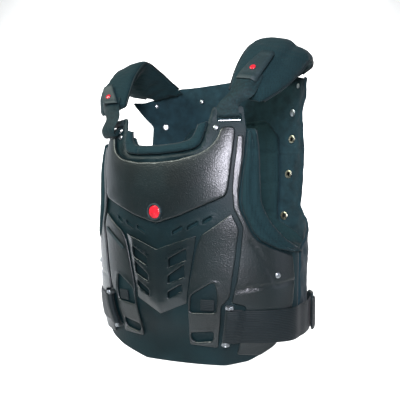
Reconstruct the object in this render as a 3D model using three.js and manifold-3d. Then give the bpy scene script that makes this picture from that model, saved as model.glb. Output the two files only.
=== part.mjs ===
// A motorcycle body protector: hard front plates on a padded vest, with shoulder straps and a waist belt.
import * as THREE from "three";
import { mergeVertices } from "three/addons/utils/BufferGeometryUtils.js";
import Module from "manifold-3d";

const wasm = await Module();
wasm.setup();

// Main sizes in millimetres. The vest faces -Y, and +X is the wearer's left.
const HALF_WIDTH = 193; // middle to side, where plates and padding meet
const FRONT_DEPTH = 130; // middle of the torso to the same face at the breast
const BACK_DEPTH = 126; // middle of the torso to the same face at the shoulder blades
const VEST_HEIGHT = 510; // hem to the underside of the shoulder pads
const SHELL_HEIGHT = 405; // hem to the top of the strap tabs

// Walls and clearances in millimetres.
const SHELL_WALL = 3;
const CHEST_RISE = 5;
const PLATE_RISE = 3.2;
const GRILLE_RISE = 5.5;
const GRILLE_CHAMFER = 3;
const SEAT = 0.7; // between curved pieces that lie on each other
const BENT_SEAT = 1.6; // the same where their facets differ
const GAP = 0.3; // between small pieces and their seats
const PAD_THICKNESS = 10;
const TRIM_THICKNESS = 9;
const PANEL_WALL = 3.6;
const BACK_PAD_THICKNESS = 10;
const SHOULDER_THICKNESS = 20;
const SHOULDER_CROWN = 12;
const STRAP_WALL = 2.6;
const BELT_WALL = 2.2;
const BAR_RADIUS = 1.6;
const RIVET_RADIUS = 4.6;
const RIVET_HEIGHT = 2.6;
const WASHER_RADIUS = 7;
const WASHER_HEIGHT = 1.8;
const EYELET_HOLE = 4.3;
const EYELET_BARREL = 5.2;
const EYELET_FLANGE = 8;
const EYELET_LIP = 1.3;
const BADGE_RADIUS = 10.5;
const BADGE_RISE = 4;
const BADGE_RING = 3.2;
const LABEL_WIDTH = 6;
const LABEL_RISE = 1;
const DOT_RADIUS = 4.8;
const DOT_RISE = 1.8;
const TAB_RISE = 2.4;
const PIN_RADIUS = 3;
const PIN_HEAD_HEIGHT = 2;
const SLIDER_WALL = 4;
const SLIDER_BAR = 5;
const SLIDER_SLOT = 9;

// How finely curved pieces are faceted.
const FRONT_COLUMNS = [0, 0.15, 0.3, 0.43, 0.53, 0.62, 0.71, 0.8, 0.9, 1]; // shares of girth
const BACK_COLUMNS = [1.13, 1.25, 1.34, 1.405, 1.55, 1.66, 1.8]; // flat under the eyelets
const ROUND_SIDES = 10;
const ROW_MARGIN = 2; // rows of a piece closer than this to a row of the torso replace it
const WELD = 1e-3;

// The torso's width and depth by height, as shares of the sizes above.
const SECTIONS = [
  { up: 0.0, width: 0.98, front: 0.792, back: 0.86 },
  { up: 0.088, width: 0.983, front: 0.81, back: 0.86 },
  { up: 0.157, width: 0.985, front: 0.89, back: 0.86 },
  { up: 0.284, width: 0.99, front: 0.946, back: 0.89 },
  { up: 0.367, width: 0.996, front: 0.962, back: 0.92 },
  { up: 0.445, width: 1.0, front: 0.992, back: 0.95 },
  { up: 0.578, width: 1.0, front: 1.0, back: 0.99 },
  { up: 0.647, width: 1.0, front: 0.985, back: 1.0 },
  { up: 0.696, width: 0.998, front: 0.948, back: 1.0 },
  { up: 0.794, width: 0.99, front: 0.85, back: 1.0 },
  { up: 1.0, width: 0.98, front: 0.72, back: 0.98 },
];
const FRONT_POWER = 2.3; // how square the section is in front and behind: 2 is an ellipse
const BACK_POWER = 3;
const QUARTER_STEPS = 90;
const TINY_TURN = 1e-4;

// A point of the section's outline, where angle 0 faces forward.
function outlinePoint(angle, section) {
  const inFront = Math.cos(angle) > 0;
  const depth = inFront ? section.front : section.back;
  const power = inFront ? FRONT_POWER : BACK_POWER;
  const across = Math.abs(Math.sin(angle) / section.width) ** power;
  const along = Math.abs(Math.cos(angle) / depth) ** power;
  const reach = (across + along) ** (-1 / power);
  return new THREE.Vector2(reach * Math.sin(angle), -reach * Math.cos(angle));
}

// Lengths along a quarter of the full section, to turn shares of girth into angles.
function quarterLengths(startAngle) {
  const section = { width: HALF_WIDTH, front: FRONT_DEPTH, back: BACK_DEPTH };
  const lengths = [0];
  for (let i = 1; i <= QUARTER_STEPS; i++) {
    const step = Math.PI / 2 / QUARTER_STEPS;
    const from = outlinePoint(startAngle + (i - 1) * step, section);
    const to = outlinePoint(startAngle + i * step, section);
    lengths.push(lengths[i - 1] + from.distanceTo(to));
  }
  return lengths;
}
const frontLengths = quarterLengths(0);
const backLengths = quarterLengths(Math.PI / 2);
const FRONT_QUARTER = frontLengths[QUARTER_STEPS];
const BACK_QUARTER = backLengths[QUARTER_STEPS];

// Girth is counted in quarters: 0 at the breastbone, 1 under the left arm, 2 at the spine, 3 at the right.
function angleAt(around) {
  if (around < 0) return -angleAt(-around);
  if (around > 2) return 2 * Math.PI - angleAt(4 - around);
  const lengths = around < 1 ? frontLengths : backLengths;
  const wanted = (around - Math.floor(Math.min(around, 1.999))) * lengths[QUARTER_STEPS];
  let i = 1;
  while (i < QUARTER_STEPS && lengths[i] < wanted) i++;
  const share = (wanted - lengths[i - 1]) / (lengths[i] - lengths[i - 1]);
  const start = around < 1 ? 0 : Math.PI / 2;
  return start + ((i - 1 + share) / QUARTER_STEPS) * (Math.PI / 2);
}

// The torso is faceted between these columns and rows, and all pieces on it follow the same facets.
const HALF_COLUMNS = [...FRONT_COLUMNS, ...BACK_COLUMNS, 2];
const ALL_COLUMNS = [
  ...HALF_COLUMNS.map((around) => -around),
  ...HALF_COLUMNS,
  ...HALF_COLUMNS.map((around) => 4 - around),
];
const COLUMNS = [...new Set(ALL_COLUMNS)].sort((a, b) => a - b);
const ROWS = SECTIONS.map((row) => row.up * VEST_HEIGHT);

function cornerOf(column, row, lift) {
  const { width, front, back } = SECTIONS[row];
  const section = { width: width * HALF_WIDTH, front: front * FRONT_DEPTH, back: back * BACK_DEPTH };
  const angle = angleAt(COLUMNS[column]);
  const here = outlinePoint(angle, section);
  const ahead = outlinePoint(angle + TINY_TURN, section).sub(here).normalize();
  return new THREE.Vector3(here.x + ahead.y * lift, here.y - ahead.x * lift, ROWS[row]);
}

function cellOf(value, steps) {
  let cell = 0;
  while (cell < steps.length - 2 && steps[cell + 1] < value) cell++;
  return [cell, (value - steps[cell]) / (steps[cell + 1] - steps[cell])];
}

// A point of the vest: share of girth, height above the hem, and lift off the face of the padding.
function onTorso(around, height, lift) {
  const [column, across] = cellOf(around, COLUMNS);
  const [row, up] = cellOf(height, ROWS);
  const low = cornerOf(column, row, lift).lerp(cornerOf(column + 1, row, lift), across);
  const high = cornerOf(column, row + 1, lift).lerp(cornerOf(column + 1, row + 1, lift), across);
  return low.lerp(high, up);
}

// The direction off a facet.
function normalAt(around, height) {
  const step = 1e-3;
  const along = onTorso(around + step, height, 0).sub(onTorso(around - step, height, 0));
  const upwards = onTorso(around, height + step, 0).sub(onTorso(around, height - step, 0));
  return along.cross(upwards).normalize();
}

// Merges equal vertices and drops the triangles that collapsed.
function welded(source) {
  const bare = source.clone();
  bare.deleteAttribute("normal");
  bare.deleteAttribute("uv");
  const merged = mergeVertices(bare, WELD);
  const kept = [];
  const corners = merged.index.array;
  for (let i = 0; i < corners.length; i += 3) {
    const [a, b, c] = [corners[i], corners[i + 1], corners[i + 2]];
    if (a !== b && b !== c && a !== c) kept.push(a, b, c);
  }
  return merged.setIndex(kept);
}

function solidOf(source) {
  const clean = welded(source);
  const vertProperties = new Float32Array(clean.getAttribute("position").array);
  const triVerts = new Uint32Array(clean.index.array);
  return new wasm.Manifold(new wasm.Mesh({ numProp: 3, vertProperties, triVerts }));
}

function geometryOf(solid) {
  const mesh = solid.getMesh();
  return new THREE.BufferGeometry()
    .setAttribute("position", new THREE.BufferAttribute(mesh.vertProperties, 3))
    .setIndex(new THREE.BufferAttribute(mesh.triVerts, 1));
}

function cut(source, cutters) {
  let solid = solidOf(source);
  for (const cutter of cutters) solid = solid.subtract(solidOf(cutter));
  return geometryOf(solid);
}

// A closed sheet between two grids of points. Columns turned into rows point outwards.
function closedSheet(outer, inner) {
  const rows = outer.length;
  const columns = outer[0].length;
  const index = [];
  const over = (i, j) => i * columns + j;
  const under = (i, j) => rows * columns + over(i, j);
  const quad = (a, b, c, d) => index.push(a, b, c, a, c, d);
  for (let i = 0; i < rows - 1; i++) {
    for (let j = 0; j < columns - 1; j++) {
      quad(over(i, j), over(i, j + 1), over(i + 1, j + 1), over(i + 1, j));
      quad(under(i, j), under(i + 1, j), under(i + 1, j + 1), under(i, j + 1));
    }
    const end = columns - 1;
    quad(over(i, 0), over(i + 1, 0), under(i + 1, 0), under(i, 0));
    quad(over(i + 1, end), over(i, end), under(i, end), under(i + 1, end));
  }
  const top = rows - 1;
  for (let j = 0; j < columns - 1; j++) {
    quad(under(0, j), under(0, j + 1), over(0, j + 1), over(0, j));
    quad(over(top, j), over(top, j + 1), under(top, j + 1), under(top, j));
  }
  const made = new THREE.BufferGeometry();
  made.setFromPoints([...outer.flat(), ...inner.flat()]).setIndex(index);
  return welded(made);
}

// Adds the rows of the torso that a table skips.
function filled(rows, scale) {
  const out = [rows[0]];
  for (let i = 1; i < rows.length; i++) {
    const [below, above] = [rows[i - 1], rows[i]];
    for (const height of rowsBetween(below.up * scale, above.up * scale)) {
      const share = (height / scale - below.up) / (above.up - below.up);
      const row = {};
      for (const key in above) row[key] = THREE.MathUtils.lerp(below[key], above[key], share);
      out.push(row);
    }
    out.push(above);
  }
  return out;
}

function rowsBetween(low, high) {
  return ROWS.filter((height) => height > low + ROW_MARGIN && height < high - ROW_MARGIN);
}

function columnsBetween(from, to) {
  return COLUMNS.filter((around) => around > from && around < to);
}

// A plate on the torso: each row runs between two shares of girth. over and under are lifts, and
// border is a width in quarters of girth over which the outer face drops by drop.
function plate(rows, scale, under, over, { border = 0, drop = 0 } = {}) {
  const table = filled(rows, scale);
  const from = Math.min(...rows.map((row) => row.from));
  const to = Math.max(...rows.map((row) => row.to));
  const middle = columnsBetween(from, to);
  const grid = (lift, falls) =>
    table.map((row) => {
      const inset = Math.min(border, (row.to - row.from) / 3);
      const inner = [row.from + inset, row.to - inset];
      const kept = middle.map((around) => THREE.MathUtils.clamp(around, ...inner));
      const arounds = [row.from, inner[0], ...kept, inner[1], row.to];
      return arounds.map((around, j) => {
        const edge = j === 0 || j === arounds.length - 1;
        const rise = typeof lift === "function" ? lift(around) : lift;
        return onTorso(around, row.up * scale, edge && falls ? rise - drop : rise);
      });
    });
  return closedSheet(grid(over, true), grid(under, false));
}

function evenly(count) {
  return Array.from({ length: count + 1 }, (_, i) => i / count);
}

function mirroredRows(rows) {
  return rows.map((row) => ({ up: row.up, from: -row.edge, to: row.edge }));
}

function behindRows(rows) {
  return rows.map((row) => ({ up: row.up, from: row.edge, to: 4 - row.edge }));
}

// A cutter that runs straight back through the front plates.
function punch(outline, lift) {
  const corners = outline.map(({ around, up }) => {
    const height = up * SHELL_HEIGHT;
    return new THREE.Vector2(onTorso(around, height, lift).x, height);
  });
  const shape = new THREE.Shape(corners);
  const depth = FRONT_DEPTH * 2;
  return new THREE.ExtrudeGeometry(shape, { depth, bevelEnabled: false }).rotateX(Math.PI / 2);
}

function mirrored(outline) {
  return outline.map(({ around, up }) => ({ around: -around, up }));
}

// A U-shaped cutter from a table of its left half, open at the top.
function neckPunch(half, lift) {
  const top = { around: half[half.length - 1].around, up: NECK_TOP };
  const left = [...half, top];
  const right = mirrored(left).reverse();
  return punch([...left, ...right], lift);
}
const NECK_TOP = 1.1;

// Straight bands: rows run across the band and columns along it.
function band(stations, profile, thickness) {
  const along = stations.map((station, i) => {
    const before = stations[Math.max(0, i - 1)];
    const after = stations[Math.min(stations.length - 1, i + 1)];
    const middle = (s) => s.inner.clone().add(s.outer).multiplyScalar(0.5);
    return middle(after).sub(middle(before)).normalize();
  });
  const grid = (key) =>
    profile.map((point) =>
      stations.map((station, j) => {
        const across = station.outer.clone().sub(station.inner);
        const normal = along[j].clone().cross(across).normalize();
        const at = station.inner.clone().addScaledVector(across, point.across);
        return at.addScaledVector(normal, point[key] * thickness * (station.thick ?? 1));
      }),
    );
  return closedSheet(grid("over"), grid("under"));
}

// A strap from a row of points for each line along it. Its inner face lies on the points.
function strapSheet(lines, thickness) {
  const last = lines.length - 1;
  const grid = (lift) =>
    lines.map((line) =>
      line.map((point, j) => {
        const along = line[Math.min(line.length - 1, j + 1)].clone().sub(line[Math.max(0, j - 1)]);
        const across = lines[last][j].clone().sub(lines[0][j]);
        return point.clone().addScaledVector(along.cross(across).normalize(), lift);
      }),
    );
  return closedSheet(grid(0), grid(-thickness));
}

// A band round the torso between two heights, along a path of girth and lift. Where the path is
// straight, the band runs straight from its lower edge to its upper one.
function girthBand(path, low, high, thickness) {
  const half = thickness / 2;
  const heights = [low, ...rowsBetween(low, high), high];
  const stations = path.flatMap((point, i) => {
    if (i === 0) return [point];
    const before = path[i - 1];
    const added = columnsBetween(quartersOf(before.girth), quartersOf(point.girth)).map((around) => {
      const girth = girthOf(around);
      const share = (girth - before.girth) / (point.girth - before.girth);
      return { girth, lift: THREE.MathUtils.lerp(before.lift, point.lift, share) };
    });
    return [...added, point];
  });
  const grid = (side) =>
    heights.map((height) =>
      stations.map((point, i) => {
        const before = stations[Math.max(0, i - 1)];
        const after = stations[Math.min(stations.length - 1, i + 1)];
        const run = new THREE.Vector2(after.girth - before.girth, after.lift - before.lift).normalize();
        const around = quartersOf(point.girth - run.y * half * side);
        const lift = point.lift + run.x * half * side;
        if (!point.straight) return onTorso(around, height, lift);
        return onTorso(around, low, lift).lerp(onTorso(around, high, lift), (height - low) / (high - low));
      }),
    );
  return closedSheet(grid(1), grid(-1));
}

function girthOf(around) {
  return around < 1 ? around * FRONT_QUARTER : FRONT_QUARTER + (around - 1) * BACK_QUARTER;
}

function quartersOf(girth) {
  return girth < FRONT_QUARTER ? girth / FRONT_QUARTER : 1 + (girth - FRONT_QUARTER) / BACK_QUARTER;
}

// Turned pieces, with their axis along Y and their foot at zero.
function turned(profile) {
  const points = profile.map(([radius, height]) => new THREE.Vector2(radius, height));
  return welded(new THREE.LatheGeometry(points, ROUND_SIDES));
}

function dome(radius, height) {
  const waist = 0.76;
  const shoulder = 0.8;
  return turned([
    [0, 0],
    [radius, 0],
    [radius * waist, height * shoulder],
    [0, height],
  ]);
}

function ring(inside, outside, height) {
  const round = 0.22;
  const edge = (outside - inside) * round;
  return turned([
    [inside, 0],
    [outside, 0],
    [outside, height - edge],
    [outside - edge, height],
    [inside + edge, height],
    [inside, height - edge],
    [inside, 0],
  ]);
}

const MATERIALS = {
  plate: { color: "#2b2e2f", roughness: 0.42, metalness: 0.0 },
  textile: { color: "#1c2527", roughness: 0.92, metalness: 0.0 },
  webbing: { color: "#191d1e", roughness: 0.88, metalness: 0.0 },
  rubber: { color: "#222628", roughness: 0.65, metalness: 0.0 },
  steel: { color: "#b9bdc0", roughness: 0.28, metalness: 1.0 },
  brass: { color: "#8f8c72", roughness: 0.35, metalness: 1.0 },
  red: { color: "#d92a36", roughness: 0.35, metalness: 0.0 },
};

const vest = new THREE.Group();
vest.position.z = -VEST_HEIGHT;

function add(name, geometry, look) {
  geometry.computeVertexNormals();
  const mesh = new THREE.Mesh(geometry, new THREE.MeshStandardMaterial(MATERIALS[look]));
  mesh.name = name;
  vest.add(mesh);
  return mesh;
}

// One piece at the wearer's left and its mirror image at the right.
function addPair(name, geometry, look) {
  add(`${name}_left`, geometry, look);
  add(`${name}_right`, geometry, look).scale.x = -1;
}

// Stands a turned piece on the torso, facing out, or in when inward is true.
function seated(geometry, around, height, lift, inward = false) {
  const normal = normalAt(around, height);
  if (inward) normal.negate();
  const turn = new THREE.Quaternion().setFromUnitVectors(new THREE.Vector3(0, 1, 0), normal);
  const place = onTorso(around, height, lift);
  return geometry.clone().applyQuaternion(turn).translate(place.x, place.y, place.z);
}

// Front shell: rows give its half width, and the neck, slots and windows are cut through it.
const SHELL_ROWS = [
  { up: 0.0, edge: 0.2 },
  { up: 0.025, edge: 0.459 },
  { up: 0.049, edge: 0.6 },
  { up: 0.104, edge: 0.741 },
  { up: 0.156, edge: 0.796 },
  { up: 0.259, edge: 0.845 },
  { up: 0.358, edge: 0.859 },
  { up: 0.449, edge: 0.837 },
  { up: 0.459, edge: 0.767 },
  { up: 0.474, edge: 0.681 },
  { up: 0.501, edge: 0.607 },
  { up: 0.531, edge: 0.57 },
  { up: 0.612, edge: 0.507 },
  { up: 0.66, edge: 0.497 },
  { up: 0.77, edge: 0.519 },
  { up: 0.906, edge: 0.556 },
  { up: 1.0, edge: 0.556 },
];
const NECK = [
  { around: 0.0, up: 0.822 },
  { around: 0.15, up: 0.826 },
  { around: 0.24, up: 0.834 },
  { around: 0.278, up: 0.85 },
  { around: 0.3, up: 0.88 },
  { around: 0.33, up: 0.94 },
  { around: 0.366, up: 1.0 },
];
const STRAP_SLOT = { from: 0.392, to: 0.535, low: 0.94, high: 0.97 };
const VENT_SLOTS = [
  { from: 0.1, to: 0.168, low: 0.516, slope: 0.022 },
  { from: 0.2, to: 0.262, low: 0.535, slope: 0.022 },
  { from: 0.294, to: 0.344, low: 0.558, slope: 0.018 },
];
const VENT_HEIGHT = 0.014;
const WAIST_WINDOW = [
  { around: 0.215, up: 0.225 },
  { around: 0.224, up: 0.292 },
  { around: 0.352, up: 0.343 },
  { around: 0.374, up: 0.341 },
  { around: 0.389, up: 0.289 },
  { around: 0.381, up: 0.232 },
];
const WAIST_SLOT = [
  { around: 0.219, up: 0.143 },
  { around: 0.378, up: 0.158 },
  { around: 0.378, up: 0.119 },
  { around: 0.252, up: 0.106 },
  { around: 0.222, up: 0.12 },
];

function band4({ from, to, low, high }) {
  return [
    { around: from, up: low },
    { around: to, up: low },
    { around: to, up: high },
    { around: from, up: high },
  ];
}

function ventOutline({ from, to, low, slope }) {
  return [
    { around: from, up: low },
    { around: to, up: low + slope },
    { around: to, up: low + slope + VENT_HEIGHT },
    { around: from, up: low + VENT_HEIGHT },
  ];
}

function bothSides(outline, lift) {
  return [punch(outline, lift), punch(mirrored(outline), lift)];
}

const shellSheet = plate(mirroredRows(SHELL_ROWS), SHELL_HEIGHT, 0, SHELL_WALL);
const shell = cut(shellSheet, [
  neckPunch(NECK, SHELL_WALL),
  ...bothSides(band4(STRAP_SLOT), SHELL_WALL),
  ...VENT_SLOTS.flatMap((slot) => bothSides(ventOutline(slot), SHELL_WALL)),
]);
add("front_shell", shell, "plate");

// Chest plate: a shield whose foot is a shallow V.
const plateFoot = SHELL_WALL + SEAT + GAP;
const CHEST_ROWS = [
  { up: 0.56, edge: 0.0 },
  { up: 0.59, edge: 0.159 },
  { up: 0.612, edge: 0.239 },
  { up: 0.662, edge: 0.422 },
  { up: 0.684, edge: 0.437 },
  { up: 0.807, edge: 0.463 },
  { up: 0.905, edge: 0.492 },
  { up: 0.918, edge: 0.484 },
];
const CHEST_NECK = [
  { around: 0.0, up: 0.796 },
  { around: 0.141, up: 0.8 },
  { around: 0.278, up: 0.82 },
  { around: 0.345, up: 0.845 },
  { around: 0.385, up: 0.872 },
  { around: 0.41, up: 0.91 },
];
const EDGE_DROP = 1.4; // how far a plate's border falls towards the shell
const ROUNDED = { border: 0.035, drop: EDGE_DROP };
const chestFoot = SHELL_WALL + BENT_SEAT + 2 * GAP;
const chestTop = chestFoot + CHEST_RISE;
const chestSheet = plate(mirroredRows(CHEST_ROWS), SHELL_HEIGHT, chestFoot, chestTop, ROUNDED);
add("chest_plate", cut(chestSheet, [neckPunch(CHEST_NECK, chestTop)]), "plate");

// Grille panel: three rows of slanted windows on each side of a rib.
const GRILLE_ROWS = [
  { up: 0.205, edge: 0.0 },
  { up: 0.259, edge: 0.193 },
  { up: 0.279, edge: 0.196 },
  { up: 0.36, edge: 0.214 },
  { up: 0.427, edge: 0.233 },
  { up: 0.516, edge: 0.256 },
];
const GRILLE_NOTCH = [
  { around: 0.0, up: 0.459 },
  { around: 0.27, up: 0.522 },
];
const GRILLE_WINDOWS = [
  { inner: 0.081, outer: 0.2, innerLow: 0.393, innerHigh: 0.425, outerLow: 0.425, outerHigh: 0.467 },
  { inner: 0.074, outer: 0.185, innerLow: 0.331, innerHigh: 0.358, outerLow: 0.36, outerHigh: 0.407 },
  { inner: 0.07, outer: 0.17, innerLow: 0.272, innerHigh: 0.296, outerLow: 0.306, outerHigh: 0.333 },
];
const CHAMFERED = { border: 0.06, drop: GRILLE_CHAMFER };

function grilleWindow(w) {
  return [
    { around: w.inner, up: w.innerLow },
    { around: w.outer, up: w.outerLow },
    { around: w.outer, up: w.outerHigh },
    { around: w.inner, up: w.innerHigh },
  ];
}

const grilleTop = plateFoot + GRILLE_RISE;
const grilleSheet = plate(mirroredRows(GRILLE_ROWS), SHELL_HEIGHT, plateFoot, grilleTop, CHAMFERED);
const grille = cut(grilleSheet, [
  neckPunch(GRILLE_NOTCH, grilleTop),
  ...GRILLE_WINDOWS.flatMap((w) => bothSides(grilleWindow(w), grilleTop)),
]);
add("grille_panel", grille, "plate");

// Lower plates: from the point beside the V down to the waist, with a window and a slot.
const LOWER_ROWS = [
  { up: 0.094, from: 0.21, to: 0.412 },
  { up: 0.259, from: 0.206, to: 0.412 },
  { up: 0.275, from: 0.204, to: 0.44 },
  { up: 0.296, from: 0.206, to: 0.46 },
  { up: 0.36, from: 0.223, to: 0.47 },
  { up: 0.444, from: 0.252, to: 0.487 },
  { up: 0.486, from: 0.267, to: 0.491 },
  { up: 0.521, from: 0.294, to: 0.496 },
  { up: 0.546, from: 0.352, to: 0.498 },
  { up: 0.596, from: 0.455, to: 0.458 },
];
const lowerTop = plateFoot + PLATE_RISE;
const lowerSheet = plate(LOWER_ROWS, SHELL_HEIGHT, plateFoot, lowerTop, ROUNDED);
const lower = cut(lowerSheet, [punch(WAIST_WINDOW, lowerTop), punch(WAIST_SLOT, lowerTop)]);
addPair("lower_plate", lower, "plate");

// Side panels: a strip beside the chest plate that widens under the arm, notched for the belt roller.
const SIDE_ROWS = [
  { up: 0.075, from: 0.53, to: 0.66 },
  { up: 0.104, from: 0.54, to: 0.725 },
  { up: 0.156, from: 0.55, to: 0.785 },
  { up: 0.262, from: 0.55, to: 0.83 },
  { up: 0.272, from: 0.47, to: 0.834 },
  { up: 0.353, from: 0.496, to: 0.844 },
  { up: 0.44, from: 0.51, to: 0.824 },
  { up: 0.456, from: 0.511, to: 0.75 },
  { up: 0.474, from: 0.513, to: 0.672 },
  { up: 0.501, from: 0.516, to: 0.598 },
  { up: 0.531, from: 0.52, to: 0.561 },
  { up: 0.551, from: 0.519, to: 0.546 },
  { up: 0.617, from: 0.468, to: 0.499 },
  { up: 0.684, from: 0.459, to: 0.492 },
  { up: 0.77, from: 0.47, to: 0.512 },
  { up: 0.885, from: 0.5, to: 0.533 },
];
const sideFoot = SHELL_WALL + BENT_SEAT;
const sideTop = sideFoot + PLATE_RISE;
addPair("side_panel", plate(SIDE_ROWS, SHELL_HEIGHT, sideFoot, sideTop, ROUNDED), "plate");

// Badge and its ring at the point of the V, and the blank bar on the right lower plate.
const BADGE_UP = 0.604;
const badgeHeight = BADGE_UP * SHELL_HEIGHT;
const ringSeat = chestTop + GAP;
const ringOutside = BADGE_RADIUS + BADGE_RING;
add("badge_ring", seated(ring(BADGE_RADIUS, ringOutside, BADGE_RISE), 0, badgeHeight, ringSeat), "rubber");
add("badge", seated(dome(BADGE_RADIUS - GAP, BADGE_RISE), 0, badgeHeight, ringSeat), "red");

const LABEL = { from: 0.29, to: 0.47, low: 0.452, high: 0.534 };
const labelHalf = LABEL_WIDTH / SHELL_HEIGHT / 2;
const labelRow = (share) => {
  const around = THREE.MathUtils.lerp(LABEL.from, LABEL.to, share);
  const up = THREE.MathUtils.lerp(LABEL.low, LABEL.high, share);
  return { around, up };
};
const labelGrid = (lift) =>
  [-labelHalf, labelHalf].map((offset) =>
    evenly(3).map((share) => {
      const { around, up } = labelRow(share);
      return onTorso(around, (up + offset) * SHELL_HEIGHT, lift);
    }),
  );
const labelFoot = lowerTop + SEAT;
const label = closedSheet(labelGrid(labelFoot + LABEL_RISE), labelGrid(labelFoot));
add("label_plate", label, "rubber").scale.x = -1;

// Front pad: the liner behind the shell, a little wider at the armholes and sides.
const PAD_ROWS = [
  { up: 0.012, edge: 0.2 },
  { up: 0.03, edge: 0.44 },
  { up: 0.06, edge: 0.6 },
  { up: 0.16, edge: 0.9 },
  { up: 0.2, edge: 0.953 },
  { up: 0.448, edge: 0.953 },
  { up: 0.457, edge: 0.926 },
  { up: 0.499, edge: 0.796 },
  { up: 0.556, edge: 0.693 },
  { up: 0.63, edge: 0.626 },
  { up: 0.83, edge: 0.618 },
  { up: 0.915, edge: 0.616 },
];
const PAD_NECK = [
  { around: 0.0, up: 0.862 },
  { around: 0.14, up: 0.866 },
  { around: 0.2, up: 0.874 },
  { around: 0.23, up: 0.886 },
  { around: 0.248, up: 0.905 },
  { around: 0.268, up: 0.935 },
];
const padFace = -SEAT - 2 * GAP;
const padSheet = plate(mirroredRows(PAD_ROWS), SHELL_HEIGHT, padFace - PAD_THICKNESS, padFace);
add("front_pad", cut(padSheet, [neckPunch(PAD_NECK, padFace)]), "textile");

// Padded trims on the pad, round the neck and the armholes, beside the shell's edge.
const TRIM_SEAT = padFace + BENT_SEAT;
const TRIM_CLEARANCE = 2; // beside the shell's edge
const TRIM_GAP = TRIM_CLEARANCE / FRONT_QUARTER;
const TRIM_DROP = 4; // how far the trims' faces fall at their edges
const trimTop = TRIM_SEAT + TRIM_THICKNESS;
const TRIM_ROUND = { border: 0.02, drop: TRIM_DROP };

function edgeAt(rows, up) {
  const next = rows.findIndex((row) => row.up >= up);
  const [a, b] = [rows[next - 1], rows[next]];
  return THREE.MathUtils.lerp(a.edge, b.edge, (up - a.up) / (b.up - a.up));
}

const ARM_TRIM = [
  { up: 0.453, to: 0.935 },
  { up: 0.466, to: 0.89 },
  { up: 0.499, to: 0.786 },
  { up: 0.53, to: 0.73 },
  { up: 0.56, to: 0.683 },
  { up: 0.6, to: 0.645 },
  { up: 0.64, to: 0.62 },
  { up: 0.721, to: 0.613 },
  { up: 0.83, to: 0.612 },
  { up: 0.905, to: 0.61 },
];
const armRows = ARM_TRIM.map(({ up, to }) => ({ up, to, from: edgeAt(SHELL_ROWS, up) + TRIM_GAP }));
addPair("arm_trim", plate(armRows, SHELL_HEIGHT, TRIM_SEAT, trimTop, TRIM_ROUND), "textile");

const NECK_TRIM_GAP = 0.006;
const neckLine = (points, drop) => {
  const half = points.slice(0, PAD_NECK.length).map(({ around, up }) => ({ around, up: up + drop }));
  return [...mirrored(half).reverse(), ...half.slice(1)];
};
const neckOuter = neckLine(NECK, NECK_TRIM_GAP);
const neckInner = neckLine(PAD_NECK, 0);
const NECK_TRIM_SHAPE = [
  { share: 0, drop: TRIM_DROP },
  { share: 0.3, drop: 0 },
  { share: 0.7, drop: 0 },
  { share: 1, drop: TRIM_DROP },
];
const neckGrid = (lift) =>
  NECK_TRIM_SHAPE.map(({ share, drop }) =>
    neckOuter.map((outer, i) => {
      const around = THREE.MathUtils.lerp(outer.around, neckInner[i].around, share);
      const up = THREE.MathUtils.lerp(outer.up, neckInner[i].up, share);
      return onTorso(around, up * SHELL_HEIGHT, lift(drop));
    }),
  );
const neckTrim = closedSheet(
  neckGrid((drop) => trimTop - drop),
  neckGrid(() => TRIM_SEAT),
);
add("neck_trim", neckTrim, "textile");

// Back panel: the textile back with its side wings, pierced by eyelets.
const PANEL_ROWS = [
  { up: 0.06, edge: 1.35 },
  { up: 0.085, edge: 1.12 },
  { up: 0.12, edge: 0.957 },
  { up: 0.356, edge: 0.957 },
  { up: 0.385, edge: 1.03 },
  { up: 0.42, edge: 1.16 },
  { up: 0.47, edge: 1.31 },
  { up: 0.5, edge: 1.36 },
  { up: 0.7, edge: 1.32 },
  { up: 0.841, edge: 1.333 },
  { up: 0.93, edge: 1.13 },
  { up: 0.94, edge: 1.25 },
  { up: 0.97, edge: 1.4 },
  { up: 1.005, edge: 1.56 },
];
const EYELETS = [
  { around: 1.455, up: 0.744 },
  { around: 1.49, up: 0.616 },
  { around: 1.51, up: 0.461 },
];
const panelFace = -SEAT;
const panelInside = panelFace - PANEL_WALL;

function drill({ around, up }) {
  const height = up * VEST_HEIGHT;
  const radius = EYELET_BARREL + GAP;
  const reach = PANEL_WALL * 4;
  const hole = turned([
    [0, 0],
    [radius, 0],
    [radius, reach],
    [0, reach],
  ]);
  return seated(hole, around, height, panelInside - PANEL_WALL);
}

function opposite({ around, up }) {
  return { around: 4 - around, up };
}

const panelSheet = plate(behindRows(PANEL_ROWS), VEST_HEIGHT, panelInside, panelFace);
const eyeletHoles = [...EYELETS, ...EYELETS.map(opposite)].map(drill);
add("back_panel", cut(panelSheet, eyeletHoles), "textile");

const eyelet = turned([
  [EYELET_HOLE, 0],
  [EYELET_FLANGE, 0],
  [EYELET_FLANGE, EYELET_LIP],
  [EYELET_BARREL, EYELET_LIP],
  [EYELET_BARREL, EYELET_LIP + GAP + PANEL_WALL],
  [EYELET_HOLE, EYELET_LIP + GAP + PANEL_WALL],
  [EYELET_HOLE, 0],
]);
const eyeletFoot = panelInside - 2 * GAP - EYELET_LIP;
EYELETS.forEach(({ around, up }, i) => {
  addPair(`eyelet_${i + 1}`, seated(eyelet, around, up * VEST_HEIGHT, eyeletFoot), "brass");
});

// Washers and rivets on the inside of the back panel.
const BACK_FIXINGS = [
  { name: "back_washer", around: 1.44, up: 0.84, radius: WASHER_RADIUS, height: WASHER_HEIGHT },
  { name: "back_rivet_outer", around: 1.36, up: 0.93, radius: RIVET_RADIUS, height: RIVET_HEIGHT },
  { name: "back_rivet_inner", around: 1.76, up: 0.94, radius: RIVET_RADIUS, height: RIVET_HEIGHT },
];
for (const { name, around, up, radius, height } of BACK_FIXINGS) {
  const head = seated(dome(radius, height), around, up * VEST_HEIGHT, panelInside - 2 * GAP, true);
  addPair(name, head, "steel");
}

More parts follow.
